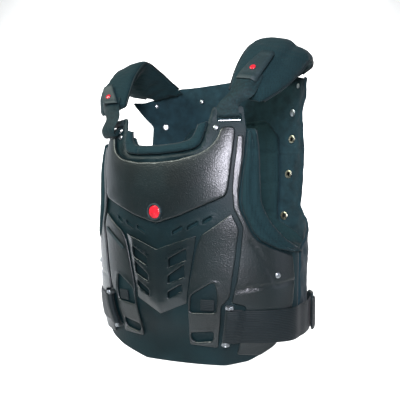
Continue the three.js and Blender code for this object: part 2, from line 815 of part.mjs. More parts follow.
// Back pad: the inner cushion of the back.
const CUSHION_ROWS = [
  { up: 0.13, edge: 1.42 },
  { up: 0.18, edge: 1.22 },
  { up: 0.36, edge: 1.16 },
  { up: 0.4, edge: 1.34 },
  { up: 0.445, edge: 1.56 },
  { up: 0.76, edge: 1.57 },
  { up: 0.83, edge: 1.68 },
];
const cushionFace = panelInside - SEAT - GAP;
const cushionBack = cushionFace - BACK_PAD_THICKNESS;
add("back_pad", plate(behindRows(CUSHION_ROWS), VEST_HEIGHT, cushionBack, cushionFace), "textile");

// Back shell: a plain hard plate with a raised spine.
const BACK_SHELL_ROWS = [
  { up: 0.09, edge: 1.6 },
  { up: 0.14, edge: 1.44 },
  { up: 0.3, edge: 1.38 },
  { up: 0.42, edge: 1.46 },
  { up: 0.6, edge: 1.48 },
  { up: 0.78, edge: 1.42 },
  { up: 0.88, edge: 1.5 },
  { up: 0.91, edge: 1.64 },
];
const SPINE_RISE = 6;
const SPINE_HALF = 0.3;
const backFace = BENT_SEAT + SHELL_WALL;
const spineLift = (around) => backFace + (Math.abs(around - 2) < SPINE_HALF ? SPINE_RISE : 0);
const backSheet = plate(behindRows(BACK_SHELL_ROWS), VEST_HEIGHT, BENT_SEAT, spineLift, ROUNDED);
add("back_shell", backSheet, "plate");

// Shoulder pads: stations from the back seam over the shoulder to the front end. Their heights are shares
// of the way from the top of the strap tabs to the vest's height.
const SHOULDER_LEFT = [
  { inX: 0.592, inY: 0.595, inUp: 1.16, outX: 1.016, outY: 0.44, outUp: 0.9, thick: 0.9 },
  { inX: 0.606, inY: 0.238, inUp: 1.265, outX: 1.057, outY: 0.25, outUp: 0.96, thick: 1 },
  { inX: 0.611, inY: -0.077, inUp: 1.28, outX: 1.062, outY: 0.06, outUp: 0.9, thick: 1 },
  { inX: 0.591, inY: -0.346, inUp: 1.05, outX: 1.026, outY: -0.154, outUp: 0.64, thick: 1 },
  { inX: 0.554, inY: -0.554, inUp: 0.68, outX: 0.933, outY: -0.423, outUp: 0.32, thick: 0.9 },
  { inX: 0.528, inY: -0.7, inUp: 0.2666, outX: 0.8, outY: -0.66, outUp: 0.0577, thick: 0.7 },
];
const SHOULDER_RIGHT = [
  { inX: 0.592, inY: 0.595, inUp: 1.13, outX: 1.016, outY: 0.4, outUp: 0.88, thick: 0.9 },
  { inX: 0.606, inY: 0.238, inUp: 1.27, outX: 1.04, outY: 0.16, outUp: 0.92, thick: 1 },
  { inX: 0.611, inY: -0.12, inUp: 1.31, outX: 1.04, outY: -0.14, outUp: 0.85, thick: 1 },
  { inX: 0.591, inY: -0.4, inUp: 1.01, outX: 1.036, outY: -0.4, outUp: 0.67, thick: 1 },
  { inX: 0.57, inY: -0.58, inUp: 0.65, outX: 1.0, outY: -0.5, outUp: 0.37, thick: 0.9 },
  { inX: 0.55, inY: -0.7, inUp: 0.286, outX: 0.86, outY: -0.65, outUp: 0.1986, thick: 0.7 },
];
const SHOULDER_SEAM = { innerAround: 1.6, innerUp: 0.985, outerAround: 1.35, outerUp: 0.955, thick: 0.4 };
const SHOULDER_COLUMNS = 14;
const SHOULDER_PROFILE = [
  { across: 0, over: -0.3, under: -0.7 },
  { across: 0.12, over: 0, under: -1 },
  { across: 0.5, over: SHOULDER_CROWN / SHOULDER_THICKNESS, under: -1 },
  { across: 0.88, over: 0, under: -1 },
  { across: 1, over: -0.3, under: -0.7 },
];

function depthShare(share) {
  return share * (share < 0 ? FRONT_DEPTH : BACK_DEPTH);
}

function heightShare(share) {
  return THREE.MathUtils.lerp(SHELL_HEIGHT, VEST_HEIGHT, share);
}

// The two edges of a shoulder pad as smooth curves, from the seam inside the back panel.
function shoulderCurves(table) {
  const seam = (around, up) => onTorso(around, up * VEST_HEIGHT, panelInside - 2 * SEAT);
  const edge = (start, x, y, up) => {
    const rest = table.map(
      (row) => new THREE.Vector3(row[x] * HALF_WIDTH, depthShare(row[y]), heightShare(row[up])),
    );
    return new THREE.CatmullRomCurve3([start, ...rest]);
  };
  return {
    inner: edge(seam(SHOULDER_SEAM.innerAround, SHOULDER_SEAM.innerUp), "inX", "inY", "inUp"),
    outer: edge(seam(SHOULDER_SEAM.outerAround, SHOULDER_SEAM.outerUp), "outX", "outY", "outUp"),
    table: [SHOULDER_SEAM, ...table],
  };
}

function shoulderStation(curves, along) {
  const place = along * (curves.table.length - 1);
  const before = Math.min(Math.floor(place), curves.table.length - 2);
  const { thick: a } = curves.table[before];
  const { thick: b } = curves.table[before + 1];
  const thick = THREE.MathUtils.lerp(a, b, place - before);
  return { inner: curves.inner.getPoint(along), outer: curves.outer.getPoint(along), thick };
}

function crownAt(across) {
  const next = Math.max(1, SHOULDER_PROFILE.findIndex((point) => point.across >= across));
  const [a, b] = [SHOULDER_PROFILE[next - 1], SHOULDER_PROFILE[next]];
  return THREE.MathUtils.lerp(a.over, b.over, (across - a.across) / (b.across - a.across));
}

// A point over a shoulder pad: shares along and across, and lift off its face.
function onShoulder(curves, along, across, lift) {
  const step = 0.01;
  const here = shoulderStation(curves, along);
  const middle = (at) => {
    const station = shoulderStation(curves, at);
    return station.inner.add(station.outer).multiplyScalar(0.5);
  };
  const run = middle(Math.min(along + step, 1)).sub(middle(Math.max(along - step, 0))).normalize();
  const width = here.outer.clone().sub(here.inner);
  const normal = run.cross(width).normalize();
  const rise = crownAt(across) * SHOULDER_THICKNESS * here.thick + lift;
  return here.inner.addScaledVector(width, across).addScaledVector(normal, rise);
}

const sides = [
  { name: "left", curves: shoulderCurves(SHOULDER_LEFT), flip: 1, tabStart: 1 },
  { name: "right", curves: shoulderCurves(SHOULDER_RIGHT), flip: -1, tabStart: 0 },
];

for (const { name, curves, flip } of sides) {
  const stations = evenly(SHOULDER_COLUMNS).map((along) => shoulderStation(curves, along));
  const padding = band(stations, SHOULDER_PROFILE, SHOULDER_THICKNESS);
  add(`shoulder_pad_${name}`, padding, "textile").scale.x = flip;
}

// Shoulder straps: down behind the tab, through its slot, and up over the front of the shoulder pad.
const STRAP_SIDE = 0.006; // clearance to the slot's ends, in quarters of girth
const STRAP_MIDDLE = 0.43; // on a column of the torso
const slotTop = STRAP_SLOT.high * SHELL_HEIGHT;
const strapFront = SHELL_WALL + 2 * SEAT;
const STRAP_TURN = [
  { lift: -SEAT, height: SHELL_HEIGHT },
  { lift: -SEAT, height: slotTop - GAP - STRAP_WALL },
  { lift: strapFront, height: slotTop - GAP - STRAP_WALL },
  { lift: strapFront, height: SHELL_HEIGHT },
];
const STRAP_CLIMB = [
  { back: 0, from: 0.12, to: 0.78 },
  { back: 1, from: 0.12, to: 0.7 },
  { back: 2, from: 0.14, to: 0.62 },
];
const strapSeat = BENT_SEAT;
const CREST = 0.5; // where the shoulder pad is highest, as a share across
const padColumn = (back) => 1 - back / SHOULDER_COLUMNS;
for (const { name, curves, flip, tabStart } of sides) {
  const turn = [STRAP_SLOT.from + STRAP_SIDE, STRAP_MIDDLE, STRAP_SLOT.to - STRAP_SIDE].map((around) =>
    STRAP_TURN.map(({ lift, height }) => onTorso(around, height, lift)),
  );
  const strapRows = STRAP_CLIMB.slice(0, tabStart + 2); // to under the tab
  const climb = ["from", "crest", "to"].map((key) =>
    strapRows.map((row) => onShoulder(curves, padColumn(row.back), row[key] ?? CREST, strapSeat)),
  );
  const lines = turn.map((line, i) => [...line, ...climb[i]]);
  add(`shoulder_strap_${name}`, strapSheet(lines, STRAP_WALL), "webbing").scale.x = flip;
}

// Strap tabs and their buttons, on the straps.
const TAB_ROWS = [
  { back: 0, from: 0.12, to: 0.62 },
  { back: 1, from: 0.19, to: 0.59 },
  { back: 2, from: 0.26, to: 0.57 },
  { back: 3, from: 0.32, to: 0.55 },
];
const DOT = { back: 1.1, across: 0.37 };
const DOT_STEP = 0.02;
const tabLift = strapSeat + STRAP_WALL + SEAT;
for (const { name, curves, flip, tabStart } of sides) {
  const lines = ["from", "crest", "to"].map((key) =>
    TAB_ROWS.map((row) => onShoulder(curves, padColumn(row.back + tabStart), row[key] ?? CREST, tabLift)),
  );
  add(`strap_tab_${name}`, strapSheet(lines, TAB_RISE), "rubber").scale.x = flip;
  const dotFoot = tabLift + TAB_RISE + SEAT;
  const dotAlong = padColumn(DOT.back + tabStart);
  const foot = onShoulder(curves, dotAlong, DOT.across, dotFoot);
  const ahead = onShoulder(curves, dotAlong - DOT_STEP, DOT.across, dotFoot).sub(foot);
  const beside = onShoulder(curves, dotAlong, DOT.across + DOT_STEP, dotFoot).sub(foot);
  const out = beside.cross(ahead).normalize();
  const turn = new THREE.Quaternion().setFromUnitVectors(new THREE.Vector3(0, 1, 0), out);
  const dot = dome(DOT_RADIUS, DOT_RISE).applyQuaternion(turn).translate(foot.x, foot.y, foot.z);
  add(`tab_dot_${name}`, dot, "red").scale.x = flip;
}

// A round bar between two points.
function rod(from, to, radius) {
  const length = from.distanceTo(to);
  const bar = turned([
    [0, 0],
    [radius, 0],
    [radius, length],
    [0, length],
  ]);
  const direction = to.clone().sub(from).normalize();
  const turn = new THREE.Quaternion().setFromUnitVectors(new THREE.Vector3(0, 1, 0), direction);
  return bar.applyQuaternion(turn).translate(from.x, from.y, from.z);
}

const barHeight = STRAP_SLOT.low * SHELL_HEIGHT + BAR_RADIUS + GAP;
const barEnd = (2 * SEAT) / FRONT_QUARTER;
const strapBar = rod(
  onTorso(STRAP_SLOT.from + barEnd, barHeight, SHELL_WALL / 2),
  onTorso(STRAP_SLOT.to - barEnd, barHeight, SHELL_WALL / 2),
  BAR_RADIUS,
);
addPair("strap_bar", strapBar, "steel");

// Rivets on the tabs, beside the chest plate, and on the side panels.
const TAB_RIVET = { around: 0.38, up: 0.918 };
const SIDE_RIVET = { around: 0.722, up: 0.373 };
const rivet = dome(RIVET_RADIUS, RIVET_HEIGHT);
addPair("tab_rivet", seated(rivet, TAB_RIVET.around, TAB_RIVET.up * SHELL_HEIGHT, SHELL_WALL + GAP), "steel");
addPair("side_rivet", seated(rivet, SIDE_RIVET.around, SIDE_RIVET.up * SHELL_HEIGHT, sideTop + GAP), "steel");

// Belts: from a loop round the buckle pin, over the side, to a loop through the rear slider.
const BELT = { low: 0.123, high: 0.247 };
const beltLow = BELT.low * SHELL_HEIGHT;
const beltHigh = BELT.high * SHELL_HEIGHT;
const wrapRadius = PIN_RADIUS + SEAT + BELT_WALL / 2;
const PIN_CLEARANCE = 3.1; // between the shell and the belt's loop
const PIN_AROUND = 0.462;
const pinLift = SHELL_WALL + PIN_CLEARANCE + BELT_WALL / 2 + wrapRadius;
const pinGirth = PIN_AROUND * FRONT_QUARTER;
const BELT_LOOP_STEPS = 6;
const beltOn = (face) => face + SEAT + BELT_WALL / 2;
const SLIDER_AT = 1.15; // start of the slider, as a share of the front quarter
const sliderGirth = FRONT_QUARTER * SLIDER_AT;
const sliderFloor = backFace + BELT_WALL;
const sliderCeiling = sliderFloor + SLIDER_WALL;
const loopUnder = sliderFloor - GAP - BELT_WALL / 2;
const loopOver = sliderCeiling + SEAT + BELT_WALL / 2;
const slotMiddle = sliderGirth + SLIDER_BAR + SLIDER_SLOT / 2;
const TAIL_DROP = 2; // how far a free strap end hangs below its loop

// The belt's inner end and its fall from the roller to the side panel, by distance from the pin.
const INNER_END = 19;
const INNER_ROOT = 6;
const FALL_START = 12;
const FALL_DIP = 1.5; // below the top of the loop
const FALL_MIDDLE = 22;
const FALL_EASE = 1; // above the side panel
const FALL_END = 30;
const BELT_FALL = [
  { beyond: FALL_START, lift: pinLift + wrapRadius - FALL_DIP },
  { beyond: FALL_MIDDLE, lift: beltOn(sideTop) + FALL_EASE },
  { beyond: FALL_END, lift: beltOn(sideTop) },
];
// Then its run over the side, by shares of the front quarter.
const BELT_RUN = [
  { around: 0.68, lift: beltOn(sideTop) },
  { around: 0.76, lift: beltOn(sideTop) },
  { around: 0.84, lift: beltOn(sideTop) },
  { around: 0.92, lift: beltOn(SHELL_WALL) },
  { around: 1, lift: loopUnder },
  { around: 1.08, lift: loopUnder },
];
const beltPath = [
  ...[INNER_END, INNER_ROOT].map((beyond) => ({ girth: pinGirth + beyond, lift: beltOn(SHELL_WALL) })),
  ...evenly(BELT_LOOP_STEPS).map((share) => {
    const turn = Math.PI * share;
    const drop = Math.cos(turn) * wrapRadius;
    return { girth: pinGirth - Math.sin(turn) * wrapRadius, lift: pinLift - drop, straight: true };
  }),
  ...BELT_FALL.map(({ beyond, lift }) => ({ girth: pinGirth + beyond, lift })),
  ...BELT_RUN.map(({ around, lift }) => ({ girth: FRONT_QUARTER * around, lift })),
  { girth: sliderGirth + SLIDER_BAR, lift: loopUnder },
  { girth: slotMiddle, lift: sliderFloor + SLIDER_WALL / 2 },
  { girth: sliderGirth + SLIDER_BAR, lift: loopOver },
  { girth: sliderGirth - SLIDER_BAR, lift: loopOver },
  { girth: sliderGirth - SLIDER_SLOT * 2, lift: loopOver - TAIL_DROP },
];
addPair("belt", girthBand(beltPath, beltLow, beltHigh, BELT_WALL), "webbing");

const LUG_WIDTH = 12;
const LUG_HEIGHT = 5;
const LUG_GAP = 1.2; // between the lugs and the belt
const lugFoot = SHELL_WALL + SEAT;
function lug(height) {
  const low = onTorso(PIN_AROUND, height, lugFoot);
  const out = normalAt(PIN_AROUND, height).setZ(0).normalize();
  const deep = pinLift + PIN_RADIUS - lugFoot;
  const block = new THREE.BoxGeometry(LUG_WIDTH, deep, LUG_HEIGHT).translate(0, deep / 2, 0);
  const basis = new THREE.Matrix4().makeBasis(
    new THREE.Vector3(out.y, -out.x, 0),
    out,
    new THREE.Vector3(0, 0, 1),
  );
  return block.applyMatrix4(basis).translate(low.x, low.y, low.z);
}
const lugLow = beltLow - LUG_GAP - LUG_HEIGHT / 2;
const lugHigh = beltHigh + LUG_GAP + LUG_HEIGHT / 2;
function pinAt(height) {
  const low = onTorso(PIN_AROUND, beltLow, pinLift);
  const high = onTorso(PIN_AROUND, beltHigh, pinLift);
  return low.lerp(high, (height - beltLow) / (beltHigh - beltLow));
}
const pinTop = lugHigh + LUG_HEIGHT / 2 + PIN_HEAD_HEIGHT;
const pinRod = rod(pinAt(lugLow), pinAt(pinTop), PIN_RADIUS);
const pin = geometryOf(solidOf(pinRod).add(solidOf(lug(lugLow))).add(solidOf(lug(lugHigh))));
addPair("buckle_pin", pin, "steel");

const BELT_END = { from: 0.285, to: 0.37, low: 0.236, high: 0.278 };
const endPath = evenly(2).map((share) => ({
  girth: THREE.MathUtils.lerp(BELT_END.from, BELT_END.to, share) * FRONT_QUARTER,
  lift: beltOn(SHELL_WALL),
}));
const beltEnd = girthBand(endPath, BELT_END.low * SHELL_HEIGHT, BELT_END.high * SHELL_HEIGHT, BELT_WALL);
addPair("belt_end", beltEnd, "webbing");

// Rear sliders: a plastic frame with two slots, and the strap that joins it to the back shell.
const SLIDER_RIM = 6;
const SLIDER_PLAY = 1.5;
const sliderWidth = 3 * SLIDER_BAR + 2 * SLIDER_SLOT;
const sliderHeight = beltHigh - beltLow + 2 * SLIDER_RIM;
function block(x, y, width, height, depth) {
  return new THREE.BoxGeometry(width, height, depth).translate(x + width / 2, y + height / 2, SLIDER_WALL / 2);
}
const slotLow = SLIDER_RIM - SLIDER_PLAY;
const slotHeight = sliderHeight - 2 * slotLow;
const slots = [SLIDER_BAR, 2 * SLIDER_BAR + SLIDER_SLOT].map((start) =>
  block(start, slotLow, SLIDER_SLOT, slotHeight, 2 * SLIDER_WALL),
);
const sliderFlat = cut(block(0, 0, sliderWidth, sliderHeight, SLIDER_WALL), slots);
const sliderPoints = sliderFlat.getAttribute("position");
for (let i = 0; i < sliderPoints.count; i++) {
  const around = quartersOf(sliderGirth + sliderPoints.getX(i));
  const height = beltLow - SLIDER_RIM + sliderPoints.getY(i);
  const place = onTorso(around, height, sliderFloor + sliderPoints.getZ(i));
  sliderPoints.setXYZ(i, place.x, place.y, place.z);
}
addPair("rear_slider", welded(sliderFlat), "rubber");

const rearBar = sliderGirth + sliderWidth - SLIDER_BAR;
const REAR_TAIL = 27; // lengths of the rear strap past the slider's bar
const REAR_UNDER = 18;
const REAR_LANDING = 36;
const REAR_END = 72;
const rearPath = [
  { girth: rearBar + REAR_TAIL, lift: loopOver - TAIL_DROP },
  { girth: rearBar + SLIDER_SLOT, lift: loopOver },
  { girth: rearBar, lift: loopOver },
  { girth: rearBar - SLIDER_SLOT / 2, lift: sliderFloor + SLIDER_WALL / 2 },
  { girth: rearBar, lift: loopUnder },
  { girth: rearBar + REAR_UNDER, lift: loopUnder },
  { girth: rearBar + REAR_LANDING, lift: beltOn(backFace) },
  { girth: rearBar + REAR_END, lift: beltOn(backFace) },
];
addPair("rear_strap", girthBand(rearPath, beltLow, beltHigh, BELT_WALL), "webbing");

export default vest;
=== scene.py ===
"""Motorcycle body protector: hard front plates on a padded vest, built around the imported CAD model."""

import math

import bmesh
import bpy
import numpy as np
from mathutils import Matrix, Vector


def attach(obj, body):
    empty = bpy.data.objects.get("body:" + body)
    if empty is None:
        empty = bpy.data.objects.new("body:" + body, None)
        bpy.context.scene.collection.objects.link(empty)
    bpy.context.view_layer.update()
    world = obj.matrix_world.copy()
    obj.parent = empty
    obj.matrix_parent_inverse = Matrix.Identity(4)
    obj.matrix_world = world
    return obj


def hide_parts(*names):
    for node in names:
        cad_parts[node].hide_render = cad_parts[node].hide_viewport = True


bl_info = {
    "name": "Motorcycle Body Protector",
    "version": (1, 0, 0),
    "blender": (4, 5, 0),
    "location": "View3D > Sidebar > Protector",
    "description": "Builds a motorcycle body protector around its packed CAD model",
    "category": "Add Mesh",
}

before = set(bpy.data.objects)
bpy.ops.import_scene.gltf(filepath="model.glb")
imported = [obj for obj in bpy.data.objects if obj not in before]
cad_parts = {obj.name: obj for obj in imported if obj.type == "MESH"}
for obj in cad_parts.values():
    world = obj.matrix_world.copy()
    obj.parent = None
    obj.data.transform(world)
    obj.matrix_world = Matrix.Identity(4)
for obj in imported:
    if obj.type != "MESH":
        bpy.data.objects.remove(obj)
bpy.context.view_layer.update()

# Sizes in millimetres, as the CAD model has them. +X is the wearer's left and -Y the front.
MM = 0.001
HALF_WIDTH = 193
FRONT_DEPTH = 130
BACK_DEPTH = 126
VEST_HEIGHT = 510
SHELL_HEIGHT = 405
SHELL_WALL = 3
BENT_SEAT = 1.6
SEAT = 0.7
GAP = 0.3
PLATE_FOOT = SHELL_WALL + SEAT + GAP
CHEST_FOOT = SHELL_WALL + BENT_SEAT + 2 * GAP
CHEST_RISE = 5
PLATE_RISE = 3.2
GRILLE_RISE = 5.5
SIDE_FOOT = SHELL_WALL + BENT_SEAT
PAD_FACE = -SEAT - 2 * GAP
PAD_THICKNESS = 10
TRIM_SEAT = PAD_FACE + BENT_SEAT
TRIM_THICKNESS = 9
PANEL_WALL = 3.6
PANEL_FACE = -SEAT
PANEL_INSIDE = PANEL_FACE - PANEL_WALL
BACK_PAD_THICKNESS = 10
STRAP_WALL = 2.6
BELT_WALL = 2.2
FRONT_POWER = 2.3
BACK_POWER = 3
QUARTER_STEPS = 90

# The torso by height: up is a share of the vest's height, the rest are shares of its sizes.
SECTIONS = (
    # up, width, front, back
    (0.0, 0.98, 0.792, 0.86),
    (0.088, 0.983, 0.81, 0.86),
    (0.157, 0.985, 0.89, 0.86),
    (0.284, 0.99, 0.946, 0.89),
    (0.367, 0.996, 0.962, 0.92),
    (0.445, 1.0, 0.992, 0.95),
    (0.578, 1.0, 1.0, 0.99),
    (0.647, 1.0, 0.985, 1.0),
    (0.696, 0.998, 0.948, 1.0),
    (0.794, 0.99, 0.85, 1.0),
    (1.0, 0.98, 0.72, 0.98),
)


def smooth_table(rows, count=300):
    """Rows of a table joined by smooth curves, sampled evenly along the first column."""
    table = np.array(rows, float)
    slopes = np.gradient(table[:, 1:], table[:, 0], axis=0)
    places = np.linspace(table[0, 0], table[-1, 0], count)
    cell = np.clip(np.searchsorted(table[:, 0], places) - 1, 0, len(table) - 2)
    step = (table[cell + 1, 0] - table[cell, 0])[:, None]
    t = (places[:, None] - table[cell, :1]) / step
    low = (1 + 2 * t) * (1 - t) ** 2 * table[cell, 1:] + t * (1 - t) ** 2 * step * slopes[cell]
    high = t**2 * (3 - 2 * t) * table[cell + 1, 1:] + t**2 * (t - 1) * step * slopes[cell + 1]
    return places, low + high


SECTION_UP, SECTION_SHARES = smooth_table(SECTIONS)


def outline_point(angle, width, front, back):
    """Points of the torso's outline, where angle 0 faces forward."""
    ahead = np.cos(angle) > 0
    depth = np.where(ahead, front, back)
    power = np.where(ahead, FRONT_POWER, BACK_POWER)
    across = np.abs(np.sin(angle) / width) ** power
    along = np.abs(np.cos(angle) / depth) ** power
    reach = (across + along) ** (-1 / power)
    return reach * np.sin(angle), -reach * np.cos(angle)


def quarter_lengths(start):
    """Lengths along a quarter of the full section."""
    angles = start + np.linspace(0, math.pi / 2, QUARTER_STEPS + 1)
    x, y = outline_point(angles, HALF_WIDTH, FRONT_DEPTH, BACK_DEPTH)
    steps = np.hypot(np.diff(x), np.diff(y))
    return angles, np.concatenate([[0], np.cumsum(steps)])


FRONT_ANGLES, FRONT_LENGTHS = quarter_lengths(0)
BACK_ANGLES, BACK_LENGTHS = quarter_lengths(math.pi / 2)
FRONT_QUARTER = FRONT_LENGTHS[-1]
BACK_QUARTER = BACK_LENGTHS[-1]
HALF_GIRTH = FRONT_QUARTER + BACK_QUARTER
GIRTH_ANGLES = np.concatenate([FRONT_ANGLES, BACK_ANGLES[1:]])
GIRTH_LENGTHS = np.concatenate([FRONT_LENGTHS, FRONT_QUARTER + BACK_LENGTHS[1:]])


def girth(around):
    """Millimetres round the torso for quarters: 0 breastbone, 1 left side, 2 spine, 3 right side."""
    if around < 0:
        return -girth(-around)
    if around > 2:
        return 2 * HALF_GIRTH - girth(4 - around)
    if around < 1:
        return around * FRONT_QUARTER
    return FRONT_QUARTER + (around - 1) * BACK_QUARTER


def angle_at(length):
    size = np.abs(length)
    near = np.interp(size, GIRTH_LENGTHS, GIRTH_ANGLES)
    far = 2 * math.pi - np.interp(2 * HALF_GIRTH - size, GIRTH_LENGTHS, GIRTH_ANGLES)
    return np.sign(length) * np.where(size > HALF_GIRTH, far, near)


def wrap(points):
    """Row-frame metres of points given as girth, height above the hem and lift, in millimetres."""
    length, height, lift = np.asarray(points, float).reshape(-1, 3).T
    up = height / VEST_HEIGHT
    sizes = (HALF_WIDTH, FRONT_DEPTH, BACK_DEPTH)
    section = [np.interp(up, SECTION_UP, SECTION_SHARES[:, i]) * size for i, size in enumerate(sizes)]
    angle = angle_at(length)
    tiny = 1e-3
    x, y = outline_point(angle, *section)
    before = outline_point(angle - tiny, *section)
    after = outline_point(angle + tiny, *section)
    run = np.stack([after[0] - before[0], after[1] - before[1]])
    run /= np.hypot(*run)
    place = np.stack([x + run[1] * lift, y - run[0] * lift, height - VEST_HEIGHT], axis=1)
    return place * MM


def at(around, up, scale=SHELL_HEIGHT):
    """A point of a flat pattern, from a share of girth and a share of height."""
    return np.array([girth(around), up * scale])


def pattern(rows, scale=SHELL_HEIGHT):
    return [at(around, up, scale) for around, up in rows]


def flipped(points):
    """The mirror image of a pattern on the other side, in the same turning direction."""
    return [np.array([-x, y]) for x, y in reversed(points)]


def both(points):
    """A closed outline from its left half, listed from the bottom up."""
    return list(points) + flipped(points)


def rounded(points, radius, steps=4):
    """An outline with its corners rounded, by one radius or one for each corner."""
    radii = radius if hasattr(radius, "__len__") else [radius] * len(points)
    out = []
    for i, corner in enumerate(points):
        before = points[i - 1] - corner
        after = points[(i + 1) % len(points)] - corner
        reach = [min(radii[i], 0.48 * np.hypot(*side)) for side in (before, after)]
        start = corner + before / max(np.hypot(*before), 1e-6) * reach[0]
        end = corner + after / max(np.hypot(*after), 1e-6) * reach[1]
        for t in np.linspace(0, 1, steps):
            out.append((1 - t) ** 2 * start + 2 * t * (1 - t) * corner + t**2 * end)
    return out


def distance_to(points, line, closed=True):
    """Distance of each flat point to a polyline."""
    line = np.asarray(line)
    ends = np.roll(line, -1, axis=0) if closed else line[1:]
    starts = line if closed else line[:-1]
    best = np.full(len(points), 1e9)
    for a, b in zip(starts, ends):
        run = b - a
        length = max(run @ run, 1e-9)
        t = np.clip(((points - a) @ run) / length, 0, 1)
        gap = points - a - t[:, None] * run
        best = np.minimum(best, np.hypot(gap[:, 0], gap[:, 1]))
    return best


def ripple(points, wavelength, seed, count=7):
    """Smooth unevenness from -1 to 1 over flat points, the same on each run."""
    rng = np.random.default_rng(seed)
    total = np.zeros(len(points))
    for _ in range(count):
        turn, phase = rng.uniform(0, 2 * math.pi, 2)
        wave = 2 * math.pi / wavelength * rng.uniform(0.6, 1.5)
        total += np.sin(wave * (points @ np.array([math.cos(turn), math.sin(turn)])) + phase)
    return total / math.sqrt(count) / 1.6


def bump_at(distance, width):
    return np.exp(-((distance / width) ** 2))


# Padding, in the same shares.
PAD = (
    (0.2, 0.012), (0.44, 0.03), (0.6, 0.06), (0.9, 0.16), (0.953, 0.2), (0.953, 0.448), (0.926, 0.457),
    (0.796, 0.499), (0.693, 0.556), (0.626, 0.63), (0.618, 0.83), (0.616, 0.915), (0.268, 0.915),
    (0.248, 0.905), (0.23, 0.886), (0.2, 0.874), (0.14, 0.866), (0.0, 0.862),
)
ARM_TRIM = (
    # inner edge beside the shell, outer edge, up
    (0.845, 0.935, 0.453),
    (0.732, 0.89, 0.466),
    (0.625, 0.786, 0.499),
    (0.579, 0.73, 0.53),
    (0.556, 0.683, 0.56),
    (0.524, 0.645, 0.6),
    (0.509, 0.62, 0.64),
    (0.516, 0.613, 0.721),
    (0.543, 0.612, 0.83),
    (0.563, 0.61, 0.905),
)
NECK_TRIM = (
    # outer around, outer up, inner around, inner up
    (0.0, 0.828, 0.0, 0.862),
    (0.15, 0.832, 0.14, 0.866),
    (0.24, 0.84, 0.2, 0.874),
    (0.278, 0.856, 0.23, 0.886),
    (0.3, 0.886, 0.248, 0.905),
    (0.33, 0.946, 0.268, 0.935),
)
NECK_SEAMS = (-0.16, 0.21)
PANEL = (
    (1.35, 0.06), (1.12, 0.085), (0.957, 0.12), (0.957, 0.356), (1.03, 0.385), (1.16, 0.42), (1.31, 0.47),
    (1.36, 0.5), (1.32, 0.7), (1.333, 0.841), (1.13, 0.93), (1.25, 0.94), (1.4, 0.97), (1.56, 1.005),
)
EYELETS = ((1.455, 0.744), (1.49, 0.616), (1.51, 0.461))
BACK_FIXINGS = (
    # name, around, up, radius, height
    ("washer", 1.44, 0.84, 7, 1.8),
    ("rivet_outer", 1.36, 0.93, 4.6, 2.6),
    ("rivet_inner", 1.76, 0.94, 4.6, 2.6),
)
CUSHION = ((1.42, 0.13), (1.22, 0.18), (1.16, 0.36), (1.34, 0.4), (1.56, 0.445), (1.57, 0.76), (1.68, 0.83))
BACK_SHELL = (
    (1.6, 0.09), (1.44, 0.14), (1.38, 0.3), (1.46, 0.42), (1.48, 0.6), (1.42, 0.78), (1.5, 0.88),
    (1.64, 0.91),
)
SPINE_RISE = 6
RIVET = (4.6, 2.6)  # radius, height
TAB_RIVET = (0.38, 0.918)
SIDE_RIVET = (0.722, 0.373)

# Shoulder pads: x of the half width, y of the front or back depth, and height as a share of the way
# from the top of the tabs to the vest's height.
SHOULDER_THICKNESS = 20
SHOULDER_CROWN = 12
SHOULDER_SEAM = (1.6, 0.985, 1.35, 0.955, 0.4)
SHOULDER_LEFT = (
    # inX, inY, inUp, outX, outY, outUp, thick
    (0.592, 0.595, 1.16, 1.016, 0.44, 0.9, 0.9),
    (0.606, 0.238, 1.265, 1.057, 0.25, 0.96, 1),
    (0.611, -0.077, 1.28, 1.062, 0.06, 0.9, 1),
    (0.591, -0.346, 1.05, 1.026, -0.154, 0.64, 1),
    (0.554, -0.554, 0.68, 0.933, -0.423, 0.32, 0.9),
    (0.528, -0.7, 0.2666, 0.8, -0.66, 0.0577, 0.7),
)
SHOULDER_RIGHT = (
    (0.592, 0.595, 1.13, 1.016, 0.4, 0.88, 0.9),
    (0.606, 0.238, 1.27, 1.04, 0.16, 0.92, 1),
    (0.611, -0.12, 1.31, 1.04, -0.14, 0.85, 1),
    (0.591, -0.4, 1.01, 1.036, -0.4, 0.67, 1),
    (0.57, -0.58, 0.65, 1.0, -0.5, 0.37, 0.9),
    (0.55, -0.7, 0.286, 0.86, -0.65, 0.1986, 0.7),
)
STRAP_CLIMB = ((0, 0.12, 0.78), (1, 0.12, 0.7), (2, 0.14, 0.62))  # back, from, to
TAB = ((0, 0.12, 0.62), (1, 0.19, 0.59), (2, 0.26, 0.57), (3, 0.32, 0.55))
TAB_START = {"Left": 1, "Right": 0}
SHOULDER_COLUMNS = 14
VALLEY = 0.68
VALLEY_DEPTH = 5.0
STRAP_EDGES = (0.398, 0.529)
STRAP_SEAT = BENT_SEAT
TAB_RISE = 2.4
DOT = (1.1, 0.37)  # back, across

# Belts, by girth from the pin or as shares of the front quarter.
BELT_LOW = 0.123 * SHELL_HEIGHT
BELT_HIGH = 0.247 * SHELL_HEIGHT
PIN_AROUND = 0.462
PIN_RADIUS = 3
PIN_LIFT = 12
SLIDER_WALL = 4
SLIDER_BAR = 5
SLIDER_SLOT = 9
SLIDER_RIM = 6
SLIDER_FLOOR = 6.8
BACK_FACE = BENT_SEAT + SHELL_WALL
SIDES = (("Left", "left", 1), ("Right", "right", -1))
